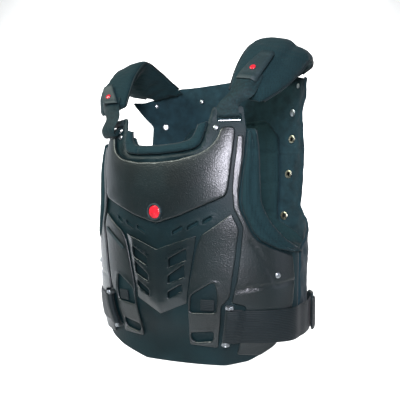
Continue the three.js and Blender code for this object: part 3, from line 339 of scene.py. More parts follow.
# Front shell, in shares of girth (quarters) and of the shell's height.
SHELL = (
    (0.2, 0.0), (0.459, 0.025), (0.6, 0.049), (0.741, 0.104), (0.796, 0.156), (0.845, 0.259),
    (0.859, 0.358), (0.837, 0.449), (0.767, 0.459), (0.681, 0.474), (0.607, 0.501), (0.57, 0.531),
    (0.507, 0.612), (0.497, 0.66), (0.519, 0.77), (0.556, 0.906), (0.556, 1.0), (0.366, 1.0),
    (0.33, 0.94), (0.3, 0.88), (0.278, 0.85), (0.24, 0.834), (0.15, 0.826), (0.0, 0.822),
)
STRAP_SLOT = ((0.392, 0.94), (0.535, 0.94), (0.535, 0.97), (0.392, 0.97))
VENTS = (
    # from, to, low, slope
    (0.1, 0.168, 0.516, 0.022),
    (0.2, 0.262, 0.535, 0.022),
    (0.294, 0.344, 0.558, 0.018),
)
VENT_HEIGHT = 0.014
CHEST = (
    (0.0, 0.56), (0.159, 0.59), (0.239, 0.612), (0.422, 0.662), (0.437, 0.684), (0.463, 0.807),
    (0.492, 0.905), (0.484, 0.918), (0.415, 0.918), (0.385, 0.872), (0.345, 0.845), (0.278, 0.82),
    (0.141, 0.8), (0.0, 0.796),
)
GRILLE = (
    (0.0, 0.205), (0.193, 0.259), (0.196, 0.279), (0.214, 0.36), (0.233, 0.427), (0.256, 0.516),
    (0.0, 0.459),
)
GRILLE_WINDOWS = (
    # inner, outer, innerLow, innerHigh, outerLow, outerHigh
    (0.081, 0.2, 0.393, 0.425, 0.425, 0.467),
    (0.074, 0.185, 0.331, 0.358, 0.36, 0.407),
    (0.07, 0.17, 0.272, 0.296, 0.306, 0.333),
)
LOWER = (
    (0.21, 0.094), (0.412, 0.094), (0.412, 0.259), (0.44, 0.275), (0.46, 0.296), (0.47, 0.36),
    (0.487, 0.444), (0.491, 0.486), (0.496, 0.521), (0.498, 0.546), (0.458, 0.596), (0.455, 0.596),
    (0.352, 0.546), (0.294, 0.521), (0.267, 0.486), (0.252, 0.444), (0.223, 0.36), (0.206, 0.296),
    (0.204, 0.275), (0.206, 0.259),
)
WAIST_WINDOW = (
    (0.215, 0.225), (0.224, 0.292), (0.352, 0.343), (0.374, 0.341), (0.389, 0.289), (0.381, 0.232),
)
WAIST_SLOT = ((0.219, 0.143), (0.378, 0.158), (0.378, 0.119), (0.252, 0.106), (0.222, 0.12))
SIDE = (
    (0.53, 0.075), (0.66, 0.075), (0.725, 0.104), (0.785, 0.156), (0.83, 0.262), (0.834, 0.272),
    (0.844, 0.353), (0.824, 0.44), (0.75, 0.456), (0.672, 0.474), (0.598, 0.501), (0.561, 0.531),
    (0.546, 0.551), (0.499, 0.617), (0.492, 0.684), (0.512, 0.77), (0.533, 0.885), (0.5, 0.885),
    (0.47, 0.77), (0.459, 0.684), (0.468, 0.617), (0.519, 0.551), (0.52, 0.531), (0.516, 0.501),
    (0.513, 0.474), (0.511, 0.456), (0.51, 0.44), (0.496, 0.353), (0.47, 0.272), (0.55, 0.262),
    (0.55, 0.156), (0.54, 0.104),
)
SIDE_CREASES = (((0.573, 0.5), (0.72, 0.339)), ((0.5, 0.322), (0.9, 0.352)))
BADGE_UP = 0.604
LABEL = ((0.29, 0.452), (0.47, 0.534))


# Sizes and colours that a user would change.
def length_setting(name, default_mm, description):
    return bpy.props.FloatProperty(
        name=name, description=description, default=default_mm * MM, min=0.0, unit="LENGTH"
    )


def colour_setting(name, code, description):
    return bpy.props.FloatVectorProperty(
        name=name, description=description, default=linear(code)[:3], size=3, min=0.0, max=1.0,
        subtype="COLOR"
    )


def linear(code):
    """Scene colour of an sRGB hex value."""
    values = [int(code[i : i + 2], 16) / 255 for i in (1, 3, 5)]
    return [v / 12.92 if v <= 0.04045 else ((v + 0.055) / 1.055) ** 2.4 for v in values] + [1.0]


class ProtectorSizes(bpy.types.PropertyGroup):
    """Sizes of the vest's finer shapes."""

    plate_edge: length_setting("Plate edge", 1.5, "Rounding of the plates' rims")
    neck_lip: length_setting("Neck lip", 2.4, "Rise of the shell's lip round the neck")
    pad_roll: length_setting("Pad roll", 7, "Rounding of the padded pieces' rims")
    piping: length_setting("Piping", 1.6, "Radius of the binding round the padded pieces")
    stitch: length_setting("Stitch", 3.2, "Length of one stitch")
    strap_fold: length_setting("Strap fold", 4.5, "Height of the folds in the slack strap")
    crease: length_setting("Crease", 1.1, "Height of the creases in the back panel")


class ProtectorColours(bpy.types.PropertyGroup):
    """Colours of the vest's finishes."""

    plate: colour_setting("Plates", "#0F1A1B", "Moulded plates")
    shell: colour_setting("Shell", "#0C2023", "Base plate under the others")
    grille: colour_setting("Grille", "#0F1C1E", "Centre panel")
    lining: colour_setting("Lining", "#1A3137", "Nylon inside the back")
    mesh: colour_setting("Mesh", "#12272A", "Mesh on the padding")
    binding: colour_setting("Binding", "#0C2023", "Bound edges")
    belt: colour_setting("Belt", "#08171A", "Elastic belts")
    tape: colour_setting("Tape", "#10272A", "Hook-and-loop straps")
    rubber: colour_setting("Rubber", "#13282B", "Strap tabs and sliders")
    steel: colour_setting("Steel", "#B4BABD", "Rivets, washers and rollers")
    brass: colour_setting("Brass", "#B5B39E", "Eyelets")
    red: colour_setting("Red", "#D42431", "Badge and buttons")
    thread: colour_setting("Thread", "#2A4246", "Stitching")
    paper: colour_setting("Backdrop", "#F5F6F6", "Floor and backdrop")


def sizes():
    return bpy.context.scene.protector_sizes


def in_mm(value):
    return value / MM


def flat_solid(outline, holes, thickness, bevel, cell):
    """A slab of a flat pattern with rounded rims, cut into cells so that it can bend."""
    curve = bpy.data.curves.new("pattern", "CURVE")
    curve.dimensions = "2D"
    curve.fill_mode = "BOTH"
    curve.extrude = thickness / 2 - bevel
    curve.bevel_depth = bevel
    curve.bevel_resolution = 2
    curve.offset = -bevel
    for loop in [outline, *holes]:
        spline = curve.splines.new("POLY")
        spline.points.add(len(loop) - 1)
        spline.points.foreach_set("co", np.array([(x, y, 0, 1) for x, y in loop]).ravel())
        spline.use_cyclic_u = True
    holder = bpy.data.objects.new("pattern", curve)
    mesh = bpy.data.meshes.new_from_object(holder)
    bpy.data.objects.remove(holder)
    bpy.data.curves.remove(curve)
    bm = bmesh.new()
    bm.from_mesh(mesh)
    bmesh.ops.remove_doubles(bm, verts=bm.verts, dist=0.01)
    low = np.min(np.array(outline), axis=0)
    high = np.max(np.array(outline), axis=0)
    for axis in (0, 1):
        normal = Vector((1 - axis, axis, 0))
        for place in np.arange(low[axis] + cell / 2, high[axis], cell):
            cut = [*bm.verts, *bm.edges, *bm.faces]
            bmesh.ops.bisect_plane(bm, geom=cut, plane_co=normal * float(place), plane_no=normal)
    bmesh.ops.recalc_face_normals(bm, faces=bm.faces)
    bm.to_mesh(mesh)
    bm.free()
    return mesh


def coordinates(mesh):
    values = np.empty(len(mesh.vertices) * 3)
    mesh.vertices.foreach_get("co", values)
    return values.reshape(-1, 3)


def set_coordinates(mesh, values):
    mesh.vertices.foreach_set("co", np.asarray(values, np.float32).ravel())
    mesh.update()


def node(tree, kind, settings=None, links=None):
    """Adds a node with its settings and with links into its inputs."""
    made = tree.nodes.new(kind)
    for key, value in (settings or {}).items():
        if isinstance(key, int) or key in made.inputs:
            made.inputs[key].default_value = value
        else:
            setattr(made, key, value)
    for key, source in (links or {}).items():
        tree.links.new(source, made.inputs[key])
    return made


def material(name, settings):
    """A new material with a bare principled shader: returns it, its tree and the shader."""
    made = bpy.data.materials.new(name)
    made.use_nodes = True
    tree = made.node_tree
    shader = tree.nodes["Principled BSDF"]
    for key, value in settings.items():
        shader.inputs[key].default_value = value
    return made, tree, shader


def ramp(tree, source, low, high, colour, dark=0.7, light=1.35):
    """A ramp from a darker to a lighter shade of a colour."""
    made = node(tree, "ShaderNodeValToRGB", links={"Fac": source})
    for stop, position, factor in zip(made.color_ramp.elements, (low, high), (dark, light)):
        stop.position = position
        stop.color = [min(1.0, channel * factor) for channel in colour] + [1.0]
    return made.outputs["Color"]


def between(tree, source, low, high):
    """The source value turned to the range from low to high."""
    made = node(tree, "ShaderNodeMapRange", {"To Min": low, "To Max": high}, {"Value": source})
    return made.outputs["Result"]


def place(tree):
    return node(tree, "ShaderNodeTexCoord").outputs["Object"]


def noise(tree, size_mm, detail=3.0, vector=None):
    """Noise whose lumps are size_mm across."""
    settings = {"Scale": 1 / (size_mm * MM), "Detail": detail, "Roughness": 0.55}
    return node(tree, "ShaderNodeTexNoise", settings, {"Vector": vector or place(tree)}).outputs["Fac"]


def relief(tree, shader, height, depth_mm, strength=1.0, under=None):
    """Bump of a real depth."""
    settings = {"Strength": strength, "Distance": depth_mm * MM}
    links = {"Height": height}
    if under:
        links["Normal"] = under
    bump = node(tree, "ShaderNodeBump", settings, links).outputs["Normal"]
    tree.links.new(bump, shader.inputs["Normal"])
    return bump


def grained_plastic(name, colour, rough=(0.24, 0.42), grain_mm=2.1, depth_mm=0.36, gloss=0.8):
    """Injection-moulded polypropylene with a spark-eroded grain: satin, with a speckled highlight.
    The real grain is about 0.8 mm, drawn coarser so that it shows."""
    made, tree, shader = material(name, {"IOR": 1.49, "Specular IOR Level": gloss})
    grain = noise(tree, grain_mm, 2.0)
    broad = noise(tree, 60, 2.0)
    tree.links.new(ramp(tree, broad, 0.35, 0.7, colour), shader.inputs["Base Color"])
    tree.links.new(between(tree, grain, *rough), shader.inputs["Roughness"])
    relief(tree, shader, grain, depth_mm)
    return made


def base_plastic(name, colour):
    """The base plate's duller grain."""
    return grained_plastic(name, colour, rough=(0.42, 0.6), gloss=0.25)


def smooth_plastic(name, colour):
    """The same plastic out of a finer mould: a clearer gloss with a faint grain."""
    return grained_plastic(name, colour, rough=(0.18, 0.28), grain_mm=1.6, depth_mm=0.07, gloss=0.8)


def woven_cloth(name, colour, thread_mm=2.2, rough=0.9, sheen=0.25, depth_mm=0.25, crease_mm=18):
    """Woven polyester: matt, with a fine lattice of threads, faint creases and soft sheen. The creases carry
    painted shade: the colour is darker in their hollows and lighter on their ridges.
    The real threads are about 0.5 mm apart, drawn coarser so that they show."""
    settings = {"Roughness": rough, "IOR": 1.5, "Specular IOR Level": 0.2, "Sheen Weight": sheen * 0.3,
                "Sheen Roughness": 0.45}
    made, tree, shader = material(name, settings)
    spot = place(tree)
    scale = 2 * math.pi / (thread_mm * MM) / 20
    waves = [
        node(tree, "ShaderNodeTexWave", {"bands_direction": way, "Scale": scale, "Distortion": 0.6},
             {"Vector": spot}).outputs["Fac"]
        for way in ("DIAGONAL", "Z")
    ]
    lattice = node(tree, "ShaderNodeMath", {"operation": "MULTIPLY"}, {0: waves[0], 1: waves[1]}).outputs[0]
    crease = noise(tree, crease_mm, 4.0)
    folds = node(tree, "ShaderNodeBump", {"Strength": 0.35, "Distance": 1.6 * MM}, {"Height": crease})
    # Painted shade: the crease noise that raises the folds also darkens their hollows and lightens their
    # ridges.
    tree.links.new(ramp(tree, crease, 0.3, 0.75, colour), shader.inputs["Base Color"])
    relief(tree, shader, lattice, depth_mm, under=folds.outputs["Normal"])
    return made


def air_mesh(name, colour, hole_mm=3.2):
    """Knitted spacer mesh over foam: rows of small round holes with painted shade in them, matt.
    The real holes are about 1.5 mm apart, drawn coarser so that they show."""
    settings = {"Roughness": 0.92, "Specular IOR Level": 0.2, "Sheen Weight": 0.08, "Sheen Roughness": 0.4}
    made, tree, shader = material(name, settings)
    cells = node(tree, "ShaderNodeTexVoronoi", {"Scale": 1 / (hole_mm * MM), "Randomness": 0.25},
                 {"Vector": place(tree)}).outputs["Distance"]
    # Painted shade: the colour is darkest at the cell centres, the pits of the bump, so the holes look
    # shaded.
    tree.links.new(ramp(tree, cells, 0.12, 0.42, colour), shader.inputs["Base Color"])
    relief(tree, shader, cells, 0.5, 0.8)
    return made


def webbing(name, colour, rib_mm=2.6, way="Z"):
    """Woven nylon webbing: crosswise ribs with a slight gloss, painted shade in the grooves between them and
    a random fuzzy tone.
    """
    settings = {"Roughness": 0.62, "Specular IOR Level": 0.3, "Sheen Weight": 0.06, "IOR": 1.53}
    made, tree, shader = material(name, settings)
    spot = place(tree)
    scale = 2 * math.pi / (rib_mm * MM) / 20
    ribs = node(tree, "ShaderNodeTexWave", {"bands_direction": way, "Scale": scale, "Distortion": 1.2,
                                            "Detail": 2.0}, {"Vector": spot}).outputs["Fac"]
    fuzz = noise(tree, 3.0, 3.0)
    rib_shade_and_fuzz = node(tree, "ShaderNodeMath", {"operation": "MULTIPLY"}, {0: ribs, 1: fuzz}).outputs[0]
    # Painted shade with random tone: darker where the ribs dip, mottled by the fuzz noise.
    tree.links.new(ramp(tree, rib_shade_and_fuzz, 0.1, 0.6, colour), shader.inputs["Base Color"])
    relief(tree, shader, ribs, 0.3, 0.8)
    return made


def hook_and_loop(name, colour):
    """Loop tape: a nap of tiny nylon loops, with a painted sparkle: the raised loops are coloured lighter and
    the hollows darker.
    """
    settings = {"Roughness": 0.7, "Specular IOR Level": 0.25, "Sheen Weight": 0.12, "Sheen Roughness": 0.3}
    made, tree, shader = material(name, settings)
    nap = noise(tree, 3.4, 4.0)
    # Painted highlight and shade: the colour follows the nap's bump, lighter on the raised loops and darker
    # between them.
    tree.links.new(ramp(tree, nap, 0.42, 0.66, colour), shader.inputs["Base Color"])
    relief(tree, shader, nap, 1.0)
    return made


def moulded_rubber(name, colour):
    """Moulded rubber: matt, slightly mottled."""
    made, tree, shader = material(name, {"Roughness": 0.6, "IOR": 1.52})
    mottle = noise(tree, 2.5, 3.0)
    tree.links.new(ramp(tree, mottle, 0.35, 0.7, colour), shader.inputs["Base Color"])
    relief(tree, shader, mottle, 0.1)
    return made


def plated_metal(name, colour, rough=0.24):
    """Turned metal with small scratches: bright, with uneven gloss."""
    made, tree, shader = material(name, {"Metallic": 1.0})
    marks = noise(tree, 1.2, 5.0)
    tree.links.new(ramp(tree, marks, 0.3, 0.7, colour), shader.inputs["Base Color"])
    tree.links.new(between(tree, marks, rough, rough + 0.18), shader.inputs["Roughness"])
    relief(tree, shader, marks, 0.04)
    return made


def glossy_plastic(name, colour):
    """Polished ABS: even colour with a clear gloss."""
    made, tree, shader = material(name, {"IOR": 1.54, "Roughness": 0.22, "Coat Weight": 0.4})
    tone = noise(tree, 8.0, 2.0)
    tree.links.new(ramp(tree, tone, 0.35, 0.65, colour), shader.inputs["Base Color"])
    relief(tree, shader, tone, 0.08)
    return made


def spun_thread(name, colour):
    """Twisted polyester thread: matt, a shade lighter than the cloth."""
    made, tree, shader = material(name, {"Roughness": 0.7, "Sheen Weight": 0.1})
    twist = noise(tree, 0.8, 2.0)
    tree.links.new(ramp(tree, twist, 0.3, 0.7, colour, 0.8, 1.3), shader.inputs["Base Color"])
    relief(tree, shader, twist, 0.1)
    return made


def matt_paper(name, colour):
    """Seamless studio paper: pale and matt."""
    made, tree, shader = material(name, {"Roughness": 0.95, "Specular IOR Level": 0.2})
    fibre = noise(tree, 40.0, 2.0)
    tree.links.new(ramp(tree, fibre, 0.3, 0.7, colour, 0.985, 1.0), shader.inputs["Base Color"])
    return made


FINISHES = {
    # colour setting: material's name, how it is made
    "plate": ("Moulded Polypropylene", grained_plastic),
    "shell": ("Moulded Polypropylene Base", base_plastic),
    "grille": ("Moulded Polypropylene Smooth", smooth_plastic),
    "lining": ("Woven Nylon Lining", woven_cloth),
    "mesh": ("Knitted Spacer Mesh", air_mesh),
    "binding": ("Woven Nylon Binding", webbing),
    "belt": ("Woven Elastic Webbing", webbing),
    "tape": ("Loop Tape", hook_and_loop),
    "rubber": ("Moulded Rubber", moulded_rubber),
    "steel": ("Nickel-Plated Steel", plated_metal),
    "brass": ("Aged Brass", plated_metal),
    "red": ("Polished Red ABS", glossy_plastic),
    "thread": ("Spun Polyester Thread", spun_thread),
    "paper": ("Matt Paper", matt_paper),
}


def finish(key):
    """The material of a finish, made when it is first asked for."""
    name, build = FINISHES[key]
    colour = list(getattr(bpy.context.scene.protector_colours, key))
    return bpy.data.materials.get(name) or build(name, colour)


def finished(name, mesh, finish_key, nodes=(), sharp=40):
    """Links a mesh as a piece of the vest, with its material and the CAD nodes it stands for."""
    piece = bpy.data.objects.new(name, mesh)
    bpy.context.scene.collection.objects.link(piece)
    mesh.materials.clear()
    mesh.materials.append(finish(finish_key))
    mesh.shade_smooth()
    mesh.set_sharp_from_angle(angle=math.radians(sharp))
    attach(piece, "root")
    if nodes:
        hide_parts(*nodes)
    return piece


def mesh_from(name, points, faces):
    """A mesh from points in metres, with its faces turned outwards."""
    mesh = bpy.data.meshes.new(name)
    mesh.from_pydata([tuple(map(float, p)) for p in points], [], faces)
    bm = bmesh.new()
    bm.from_mesh(mesh)
    bmesh.ops.remove_doubles(bm, verts=bm.verts, dist=1e-6)
    bmesh.ops.recalc_face_normals(bm, faces=bm.faces)
    bm.to_mesh(mesh)
    bm.free()
    return mesh


def lofted(name, loops):
    """A solid through closed loops of equally many points, with both ends filled."""
    count = len(loops[0])
    points = [p for loop in loops for p in loop]
    faces = []
    for i in range(len(loops) - 1):
        for j in range(count):
            k = (j + 1) % count
            faces.append((i * count + j, i * count + k, (i + 1) * count + k, (i + 1) * count + j))
    last = (len(loops) - 1) * count
    faces += [tuple(range(count))[::-1], tuple(last + j for j in range(count))]
    return mesh_from(name, points, faces)


def hard_plate(name, outline, holes, foot, rise, key, nodes, bevel=None, cell=6, shape=None):
    """A moulded plate on the torso. shape(flat points) lifts its outer face."""
    edge = in_mm(sizes().plate_edge) if bevel is None else bevel
    mesh = flat_solid(outline, holes, rise, min(edge, 0.48 * rise), cell)
    points = coordinates(mesh)
    share = np.clip(points[:, 2] / rise + 0.5, 0, 1)
    lift = foot + points[:, 2] + rise / 2
    if shape:
        lift += shape(points[:, :2]) * share
    set_coordinates(mesh, wrap(np.column_stack([points[:, :2], lift])))
    return finished(name, mesh, key, nodes)


def soft_pad(name, outline, holes, face, thickness, key, nodes, roll=None, cell=5, inward=False, shape=None,
             both_sides=False, thin=False):
    """A padded panel on the torso, from face towards its open side, with rolled rims."""
    rim = 0.8
    mesh = flat_solid(outline, holes, 2 * rim + 0.4, rim, cell)
    points = coordinates(mesh)
    flat = points[:, :2]
    gap = distance_to(flat, outline)
    for hole in holes:
        gap = np.minimum(gap, distance_to(flat, hole))
    reach = roll or in_mm(sizes().pad_roll)
    swell = np.sqrt(1 - (1 - np.clip(gap / reach, 0, 1)) ** 2)
    out = points[:, 2] > 0
    open_side = ~out if inward else out
    seam = thickness * (0.5 if both_sides else 0.3)
    depth = np.where(open_side, (thickness - seam) * swell, seam * swell)
    if shape is not None:
        depth += np.where(open_side | thin, shape(flat, gap) * swell * np.where(open_side, 1, -1), 0)
    middle = face + (-seam if inward else seam)
    lift = middle + np.where(out, 1.0, -1.0) * depth + points[:, 2] * 0.3
    set_coordinates(mesh, wrap(np.column_stack([flat, lift])))
    piece = finished(name, mesh, key, nodes, sharp=60)
    return piece


def torso_frame(around, height):
    """The direction off the torso at a point."""
    step = 0.5
    length = girth(around)
    sides = ((step, 0), (-step, 0), (0, step), (0, -step))
    a, b, c, d = wrap([(length + along, height + up, 0) for along, up in sides])
    normal = np.cross(a - b, c - d)
    return normal / np.linalg.norm(normal)


def turned(profile, centre, axis, segments=28):
    """A turned solid: profile pairs of radius and height in millimetres, foot at the centre."""
    axis = np.asarray(axis, float) / np.linalg.norm(axis)
    side = np.cross(axis, (0.0, 0.0, 1.0) if abs(axis[2]) < 0.9 else (1.0, 0.0, 0.0))
    side /= np.linalg.norm(side)
    other = np.cross(axis, side)
    rings = []
    for radius, height in profile:
        turns = np.linspace(0, 2 * math.pi, segments, endpoint=False)
        spokes = [math.cos(t) * side + math.sin(t) * other for t in turns]
        rings.append([centre + MM * (height * axis + radius * spoke) for spoke in spokes])
    closed = profile[0] == profile[-1]
    count = segments
    faces = []
    for i in range(len(rings) - 1):
        for j in range(count):
            k = (j + 1) % count
            faces.append((i * count + j, i * count + k, (i + 1) * count + k, (i + 1) * count + j))
    if not closed:
        last = (len(rings) - 1) * count
        faces += [tuple(range(count))[::-1], tuple(last + j for j in range(count))]
    return mesh_from("turned", [p for ring in rings for p in ring], faces)


def dome_profile(radius, height, flat=0.25, steps=7):
    """A low rounded rivet head."""
    turns = np.linspace(0, math.pi / 2, steps)
    crown = [(radius * max(math.cos(t), 0.02), height * (flat + (1 - flat) * math.sin(t))) for t in turns]
    return [(radius * 0.97, 0.0), (radius, height * flat * 0.5), *crown]


def catmull(points, t):
    """A point of the centripetal curve through the points."""
    count = len(points)
    place = (count - 1) * t
    i = min(int(place), count - 2)
    weight = place - i
    p1, p2 = points[i], points[i + 1]
    p0 = points[i - 1] if i > 0 else 2 * points[0] - points[1]
    p3 = points[i + 2] if i + 2 < count else 2 * points[-1] - points[-2]
    d0, d1, d2 = (max(np.linalg.norm(b - a), 1e-6) ** 0.5 for a, b in ((p0, p1), (p1, p2), (p2, p3)))
    m1 = ((p1 - p0) / d0 - (p2 - p0) / (d0 + d1) + (p2 - p1) / d1) * d1
    m2 = ((p2 - p1) / d1 - (p3 - p1) / (d1 + d2) + (p3 - p2) / d2) * d1
    c2 = -3 * p1 + 3 * p2 - 2 * m1 - m2
    c3 = 2 * p1 - 2 * p2 + m1 + m2
    return p1 + m1 * weight + c2 * weight**2 + c3 * weight**3


def smooth_line(points, count):
    points = [np.asarray(p, float) for p in points]
    return np.array([catmull(points, t) for t in np.linspace(0, 1, count)])


def even_places(points, count):
    """Places along a curve at even distances."""
    fine = np.linspace(0, 1, 400)
    line = np.array([catmull(points, t) for t in fine])
    lengths = np.concatenate([[0], np.cumsum(np.linalg.norm(np.diff(line, axis=0), axis=1))])
    return np.interp(np.linspace(0, lengths[-1], count), lengths, fine)


def shoulder_edges(table):
    """The two edges of a shoulder pad and its thickness, in millimetres of the row frame."""
    inner_around, inner_up, outer_around, outer_up, thick = SHOULDER_SEAM
    lift = PANEL_INSIDE - 2 * SEAT
    start = [
        wrap([(girth(around), up * VEST_HEIGHT, lift)])[0] / MM
        for around, up in ((inner_around, inner_up), (outer_around, outer_up))
    ]
    lines = ([start[0]], [start[1]])
    for row in table:
        for line, (x, y, up) in zip(lines, (row[:3], row[3:6])):
            depth = y * (FRONT_DEPTH if y < 0 else BACK_DEPTH)
            height = SHELL_HEIGHT + up * (VEST_HEIGHT - SHELL_HEIGHT) - VEST_HEIGHT
            line.append(np.array([x * HALF_WIDTH, depth, height]))
    return lines[0], lines[1], [thick] + [row[6] for row in table]


def shoulder_point(edges, along, across):
    """A point between a shoulder pad's edges, the direction off it, and its thickness there."""
    inner, outer, thick = edges
    step = 0.012
    a, b = catmull(inner, along), catmull(outer, along)
    ends = [min(along + step, 1), max(along - step, 0)]
    ahead, behind = (catmull(inner, t) + catmull(outer, t) for t in ends)
    normal = np.cross(ahead - behind, b - a)
    normal /= np.linalg.norm(normal)
    deep = np.interp(along * (len(thick) - 1), range(len(thick)), thick)
    return a + (b - a) * across, normal, deep


def crown_at(across):
    return np.interp(across, (0, 0.12, 0.5, 0.88, 1), (-6, 0, SHOULDER_CROWN, 0, -6))


def over_shoulder(edges, along, across, lift):
    """A point over a shoulder pad's face, in millimetres."""
    point, normal, deep = shoulder_point(edges, along, across)
    return point + normal * (crown_at(across) * deep + lift)


def ribbon(name, rows, thickness, key, nodes, sharp=50, puff=None):
    """A strap from lines of points in millimetres along it, one line for each place across.
    Its inner face lies on the lines, and its long edges are rounded."""
    lines = np.array(rows)
    along = np.gradient(lines, axis=1)
    across = np.broadcast_to((lines[-1] - lines[0])[None], lines.shape)
    normal = -np.cross(along, across)
    normal /= np.linalg.norm(normal, axis=2, keepdims=True)
    count = len(rows)
    share = np.linspace(0, 1, count)
    depth = np.sqrt(np.clip(1 - np.abs(2 * share - 1) ** 10, 0.05, 1))
    loops = []
    for j in range(lines.shape[1]):
        end = min(j, lines.shape[1] - 1 - j)
        taper = 0.6 if end == 0 else 1.0
        rise = 0 if puff is None else puff(j / (lines.shape[1] - 1), share)
        middle = lines[:, j] + normal[:, j] * (thickness / 2 + np.atleast_1d(rise)[:, None])
        half = (thickness / 2 * depth * taper)[:, None] * normal[:, j]
        loops.append(np.concatenate([middle + half, (middle - half)[::-1]]) * MM)
    return finished(name, lofted(name, loops), key, nodes, sharp)


def girth_strap(name, path, low, high, thickness, key, nodes, steps=140, rows=9):
    """A strap round the torso from a path of girth and lift."""
    line = smooth_line(path, steps)
    heights = np.linspace(low, high, rows)
    run = np.gradient(line, axis=0)
    run /= np.linalg.norm(run, axis=1, keepdims=True)
    side = np.column_stack([-run[:, 1], run[:, 0]])
    share = np.linspace(-1, 1, rows)
    depth = np.sqrt(np.clip(1 - np.abs(share) ** 12, 0.05, 1))
    loops = []
    for i in range(steps):
        loop = []
        for sign, order in ((1, range(rows)), (-1, reversed(range(rows)))):
            for r in order:
                spot = line[i] + side[i] * sign * thickness / 2 * depth[r]
                loop.append((spot[0], heights[r], spot[1]))
        loops.append(wrap(loop))
    return finished(name, lofted(name, loops), key, nodes, 50)


def tube(points, radius, sides=8):
    """A round cord along points in metres, with closed ends."""
    points = np.asarray(points, float)
    run = np.gradient(points, axis=0)
    run /= np.linalg.norm(run, axis=1, keepdims=True)
    side = np.cross(run[0], (0.3, 0.5, 0.8))
    side /= np.linalg.norm(side)
    loops = []
    for point, ahead in zip(points, run):
        side = side - ahead * (side @ ahead)
        side /= np.linalg.norm(side)
        other = np.cross(ahead, side)
        turns = np.linspace(0, 2 * math.pi, sides, endpoint=False)
        loops.append([point + radius * MM * (math.cos(t) * side + math.sin(t) * other) for t in turns])
    return lofted("tube", loops)


def spaced(points, step):
    """The same line with points at even distances."""
    points = np.asarray(points, float)
    lengths = np.concatenate([[0], np.cumsum(np.linalg.norm(np.diff(points, axis=0), axis=1))])
    places = np.linspace(0, lengths[-1], max(int(lengths[-1] / step), 2) + 1)
    return np.column_stack([np.interp(places, lengths, points[:, i]) for i in range(points.shape[1])])


def joined(meshes):
    bm = bmesh.new()
    for mesh in meshes:
        bm.from_mesh(mesh)
        bpy.data.meshes.remove(mesh)
    whole = bpy.data.meshes.new("joined")
    bm.to_mesh(whole)
    bm.free()
    return whole


def stitches(name, lines):
    """Rows of stitches along lines of points in millimetres, standing half out of the cloth."""
    long = in_mm(sizes().stitch)
    parts = []
    for line in lines:
        marks = spaced(line, long / 4)
        for i in range(0, len(marks) - 4, 5):
            a, b = marks[i], marks[i + 3]
            parts.append(tube([a * MM, (a * 0.7 + b * 0.3) * MM, (a * 0.3 + b * 0.7) * MM, b * MM], 0.55, 5))
    return finished(name, joined(parts), "thread")


def on_pattern(flat, lift):
    """Millimetre points of a flat line at a lift."""
    flat = np.asarray(flat, float)
    return wrap(np.column_stack([flat, np.broadcast_to(lift, len(flat))])) / MM


def seeded(points, wavelength, seed):
    """Smooth unevenness over points in space."""
    rng = np.random.default_rng(seed)
    total = np.zeros(len(points))
    for _ in range(8):
        way = rng.normal(size=3)
        way /= np.linalg.norm(way)
        wave = 2 * math.pi / wavelength * rng.uniform(0.6, 1.6)
        total += np.sin(wave * (points @ way) + rng.uniform(0, 6.28))
    return total / 4.5


def applied(piece):
    """Turns a piece's modifiers into its mesh."""
    graph = bpy.context.evaluated_depsgraph_get()
    mesh = bpy.data.meshes.new_from_object(piece.evaluated_get(graph))
    piece.modifiers.clear()
    piece.data = mesh
    return mesh


def subdivided(piece, levels=1):
    piece.modifiers.new("Subdivision", "SUBSURF").levels = levels
    mesh = applied(piece)
    mesh.shade_smooth()


def puffed(piece, held, voxel=5, cap=3, pressure=3.0, steps=18):
    """Blows a soft piece up by a cloth simulation. held(points in mm) is 1 where a seam holds it in."""
    remesh = piece.modifiers.new("Remesh", "REMESH")
    remesh.mode = "VOXEL"
    remesh.voxel_size = voxel * MM
    mesh = applied(piece)
    start = coordinates(mesh)
    group = piece.vertex_groups.new(name="seam")
    for i, weight in enumerate(held(start / MM)):
        if weight > 0.03:
            group.add([i], float(min(weight, 1)), "REPLACE")
    cloth = piece.modifiers.new("Cloth", "CLOTH")
    cloth.settings.quality = 4
    cloth.settings.mass = 0.25
    cloth.settings.tension_stiffness = 8
    cloth.settings.compression_stiffness = 8
    cloth.settings.shear_stiffness = 4
    cloth.settings.bending_stiffness = 0.4
    cloth.settings.use_pressure = True
    cloth.settings.uniform_pressure_force = pressure
    cloth.settings.effector_weights.gravity = 0
    cloth.settings.vertex_group_mass = "seam"
    cloth.point_cache.frame_end = steps
    scene = bpy.context.scene
    for frame_number in range(1, steps + 1):
        scene.frame_set(frame_number)
    graph = bpy.context.evaluated_depsgraph_get()
    moved = piece.evaluated_get(graph).to_mesh()
    end = np.empty(len(mesh.vertices) * 3)
    moved.vertices.foreach_get("co", end)
    shift = end.reshape(-1, 3) - start
    length = np.linalg.norm(shift, axis=1, keepdims=True)
    shift *= np.minimum(1, cap * MM / np.maximum(length, 1e-9))
    piece.modifiers.remove(cloth)
    scene.frame_set(1)
    set_coordinates(mesh, start + shift)
    piece.vertex_groups.clear()
    subdivided(piece)


def near_lines(points, lines, width):
    """1 at any of the lines in space, falling to 0 at the width."""
    best = np.full(len(points), 1e9)
    for line in lines:
        for spot in line:
            best = np.minimum(best, np.linalg.norm(points - spot, axis=1))
    return np.clip(1.4 - best / width, 0, 1)


def vent_outline(start, end, low, slope):
    high = low + VENT_HEIGHT
    return pattern([(start, low), (end, low + slope), (end, low + slope + VENT_HEIGHT), (start, high)])


def two_sides(outlines):
    return [*outlines, *(flipped(outline) for outline in outlines)]


def behind(rows):
    """A closed outline across the back from its left edge, listed from the bottom up."""
    left = [at(around, up, VEST_HEIGHT) for around, up in rows]
    right = [at(4 - around, up, VEST_HEIGHT) for around, up in reversed(rows)]
    return left + right


def circle(centre, radius, count=20):
    turns = np.linspace(0, 2 * math.pi, count, endpoint=False)
    return [centre + radius * np.array([math.cos(t), math.sin(t)]) for t in turns]


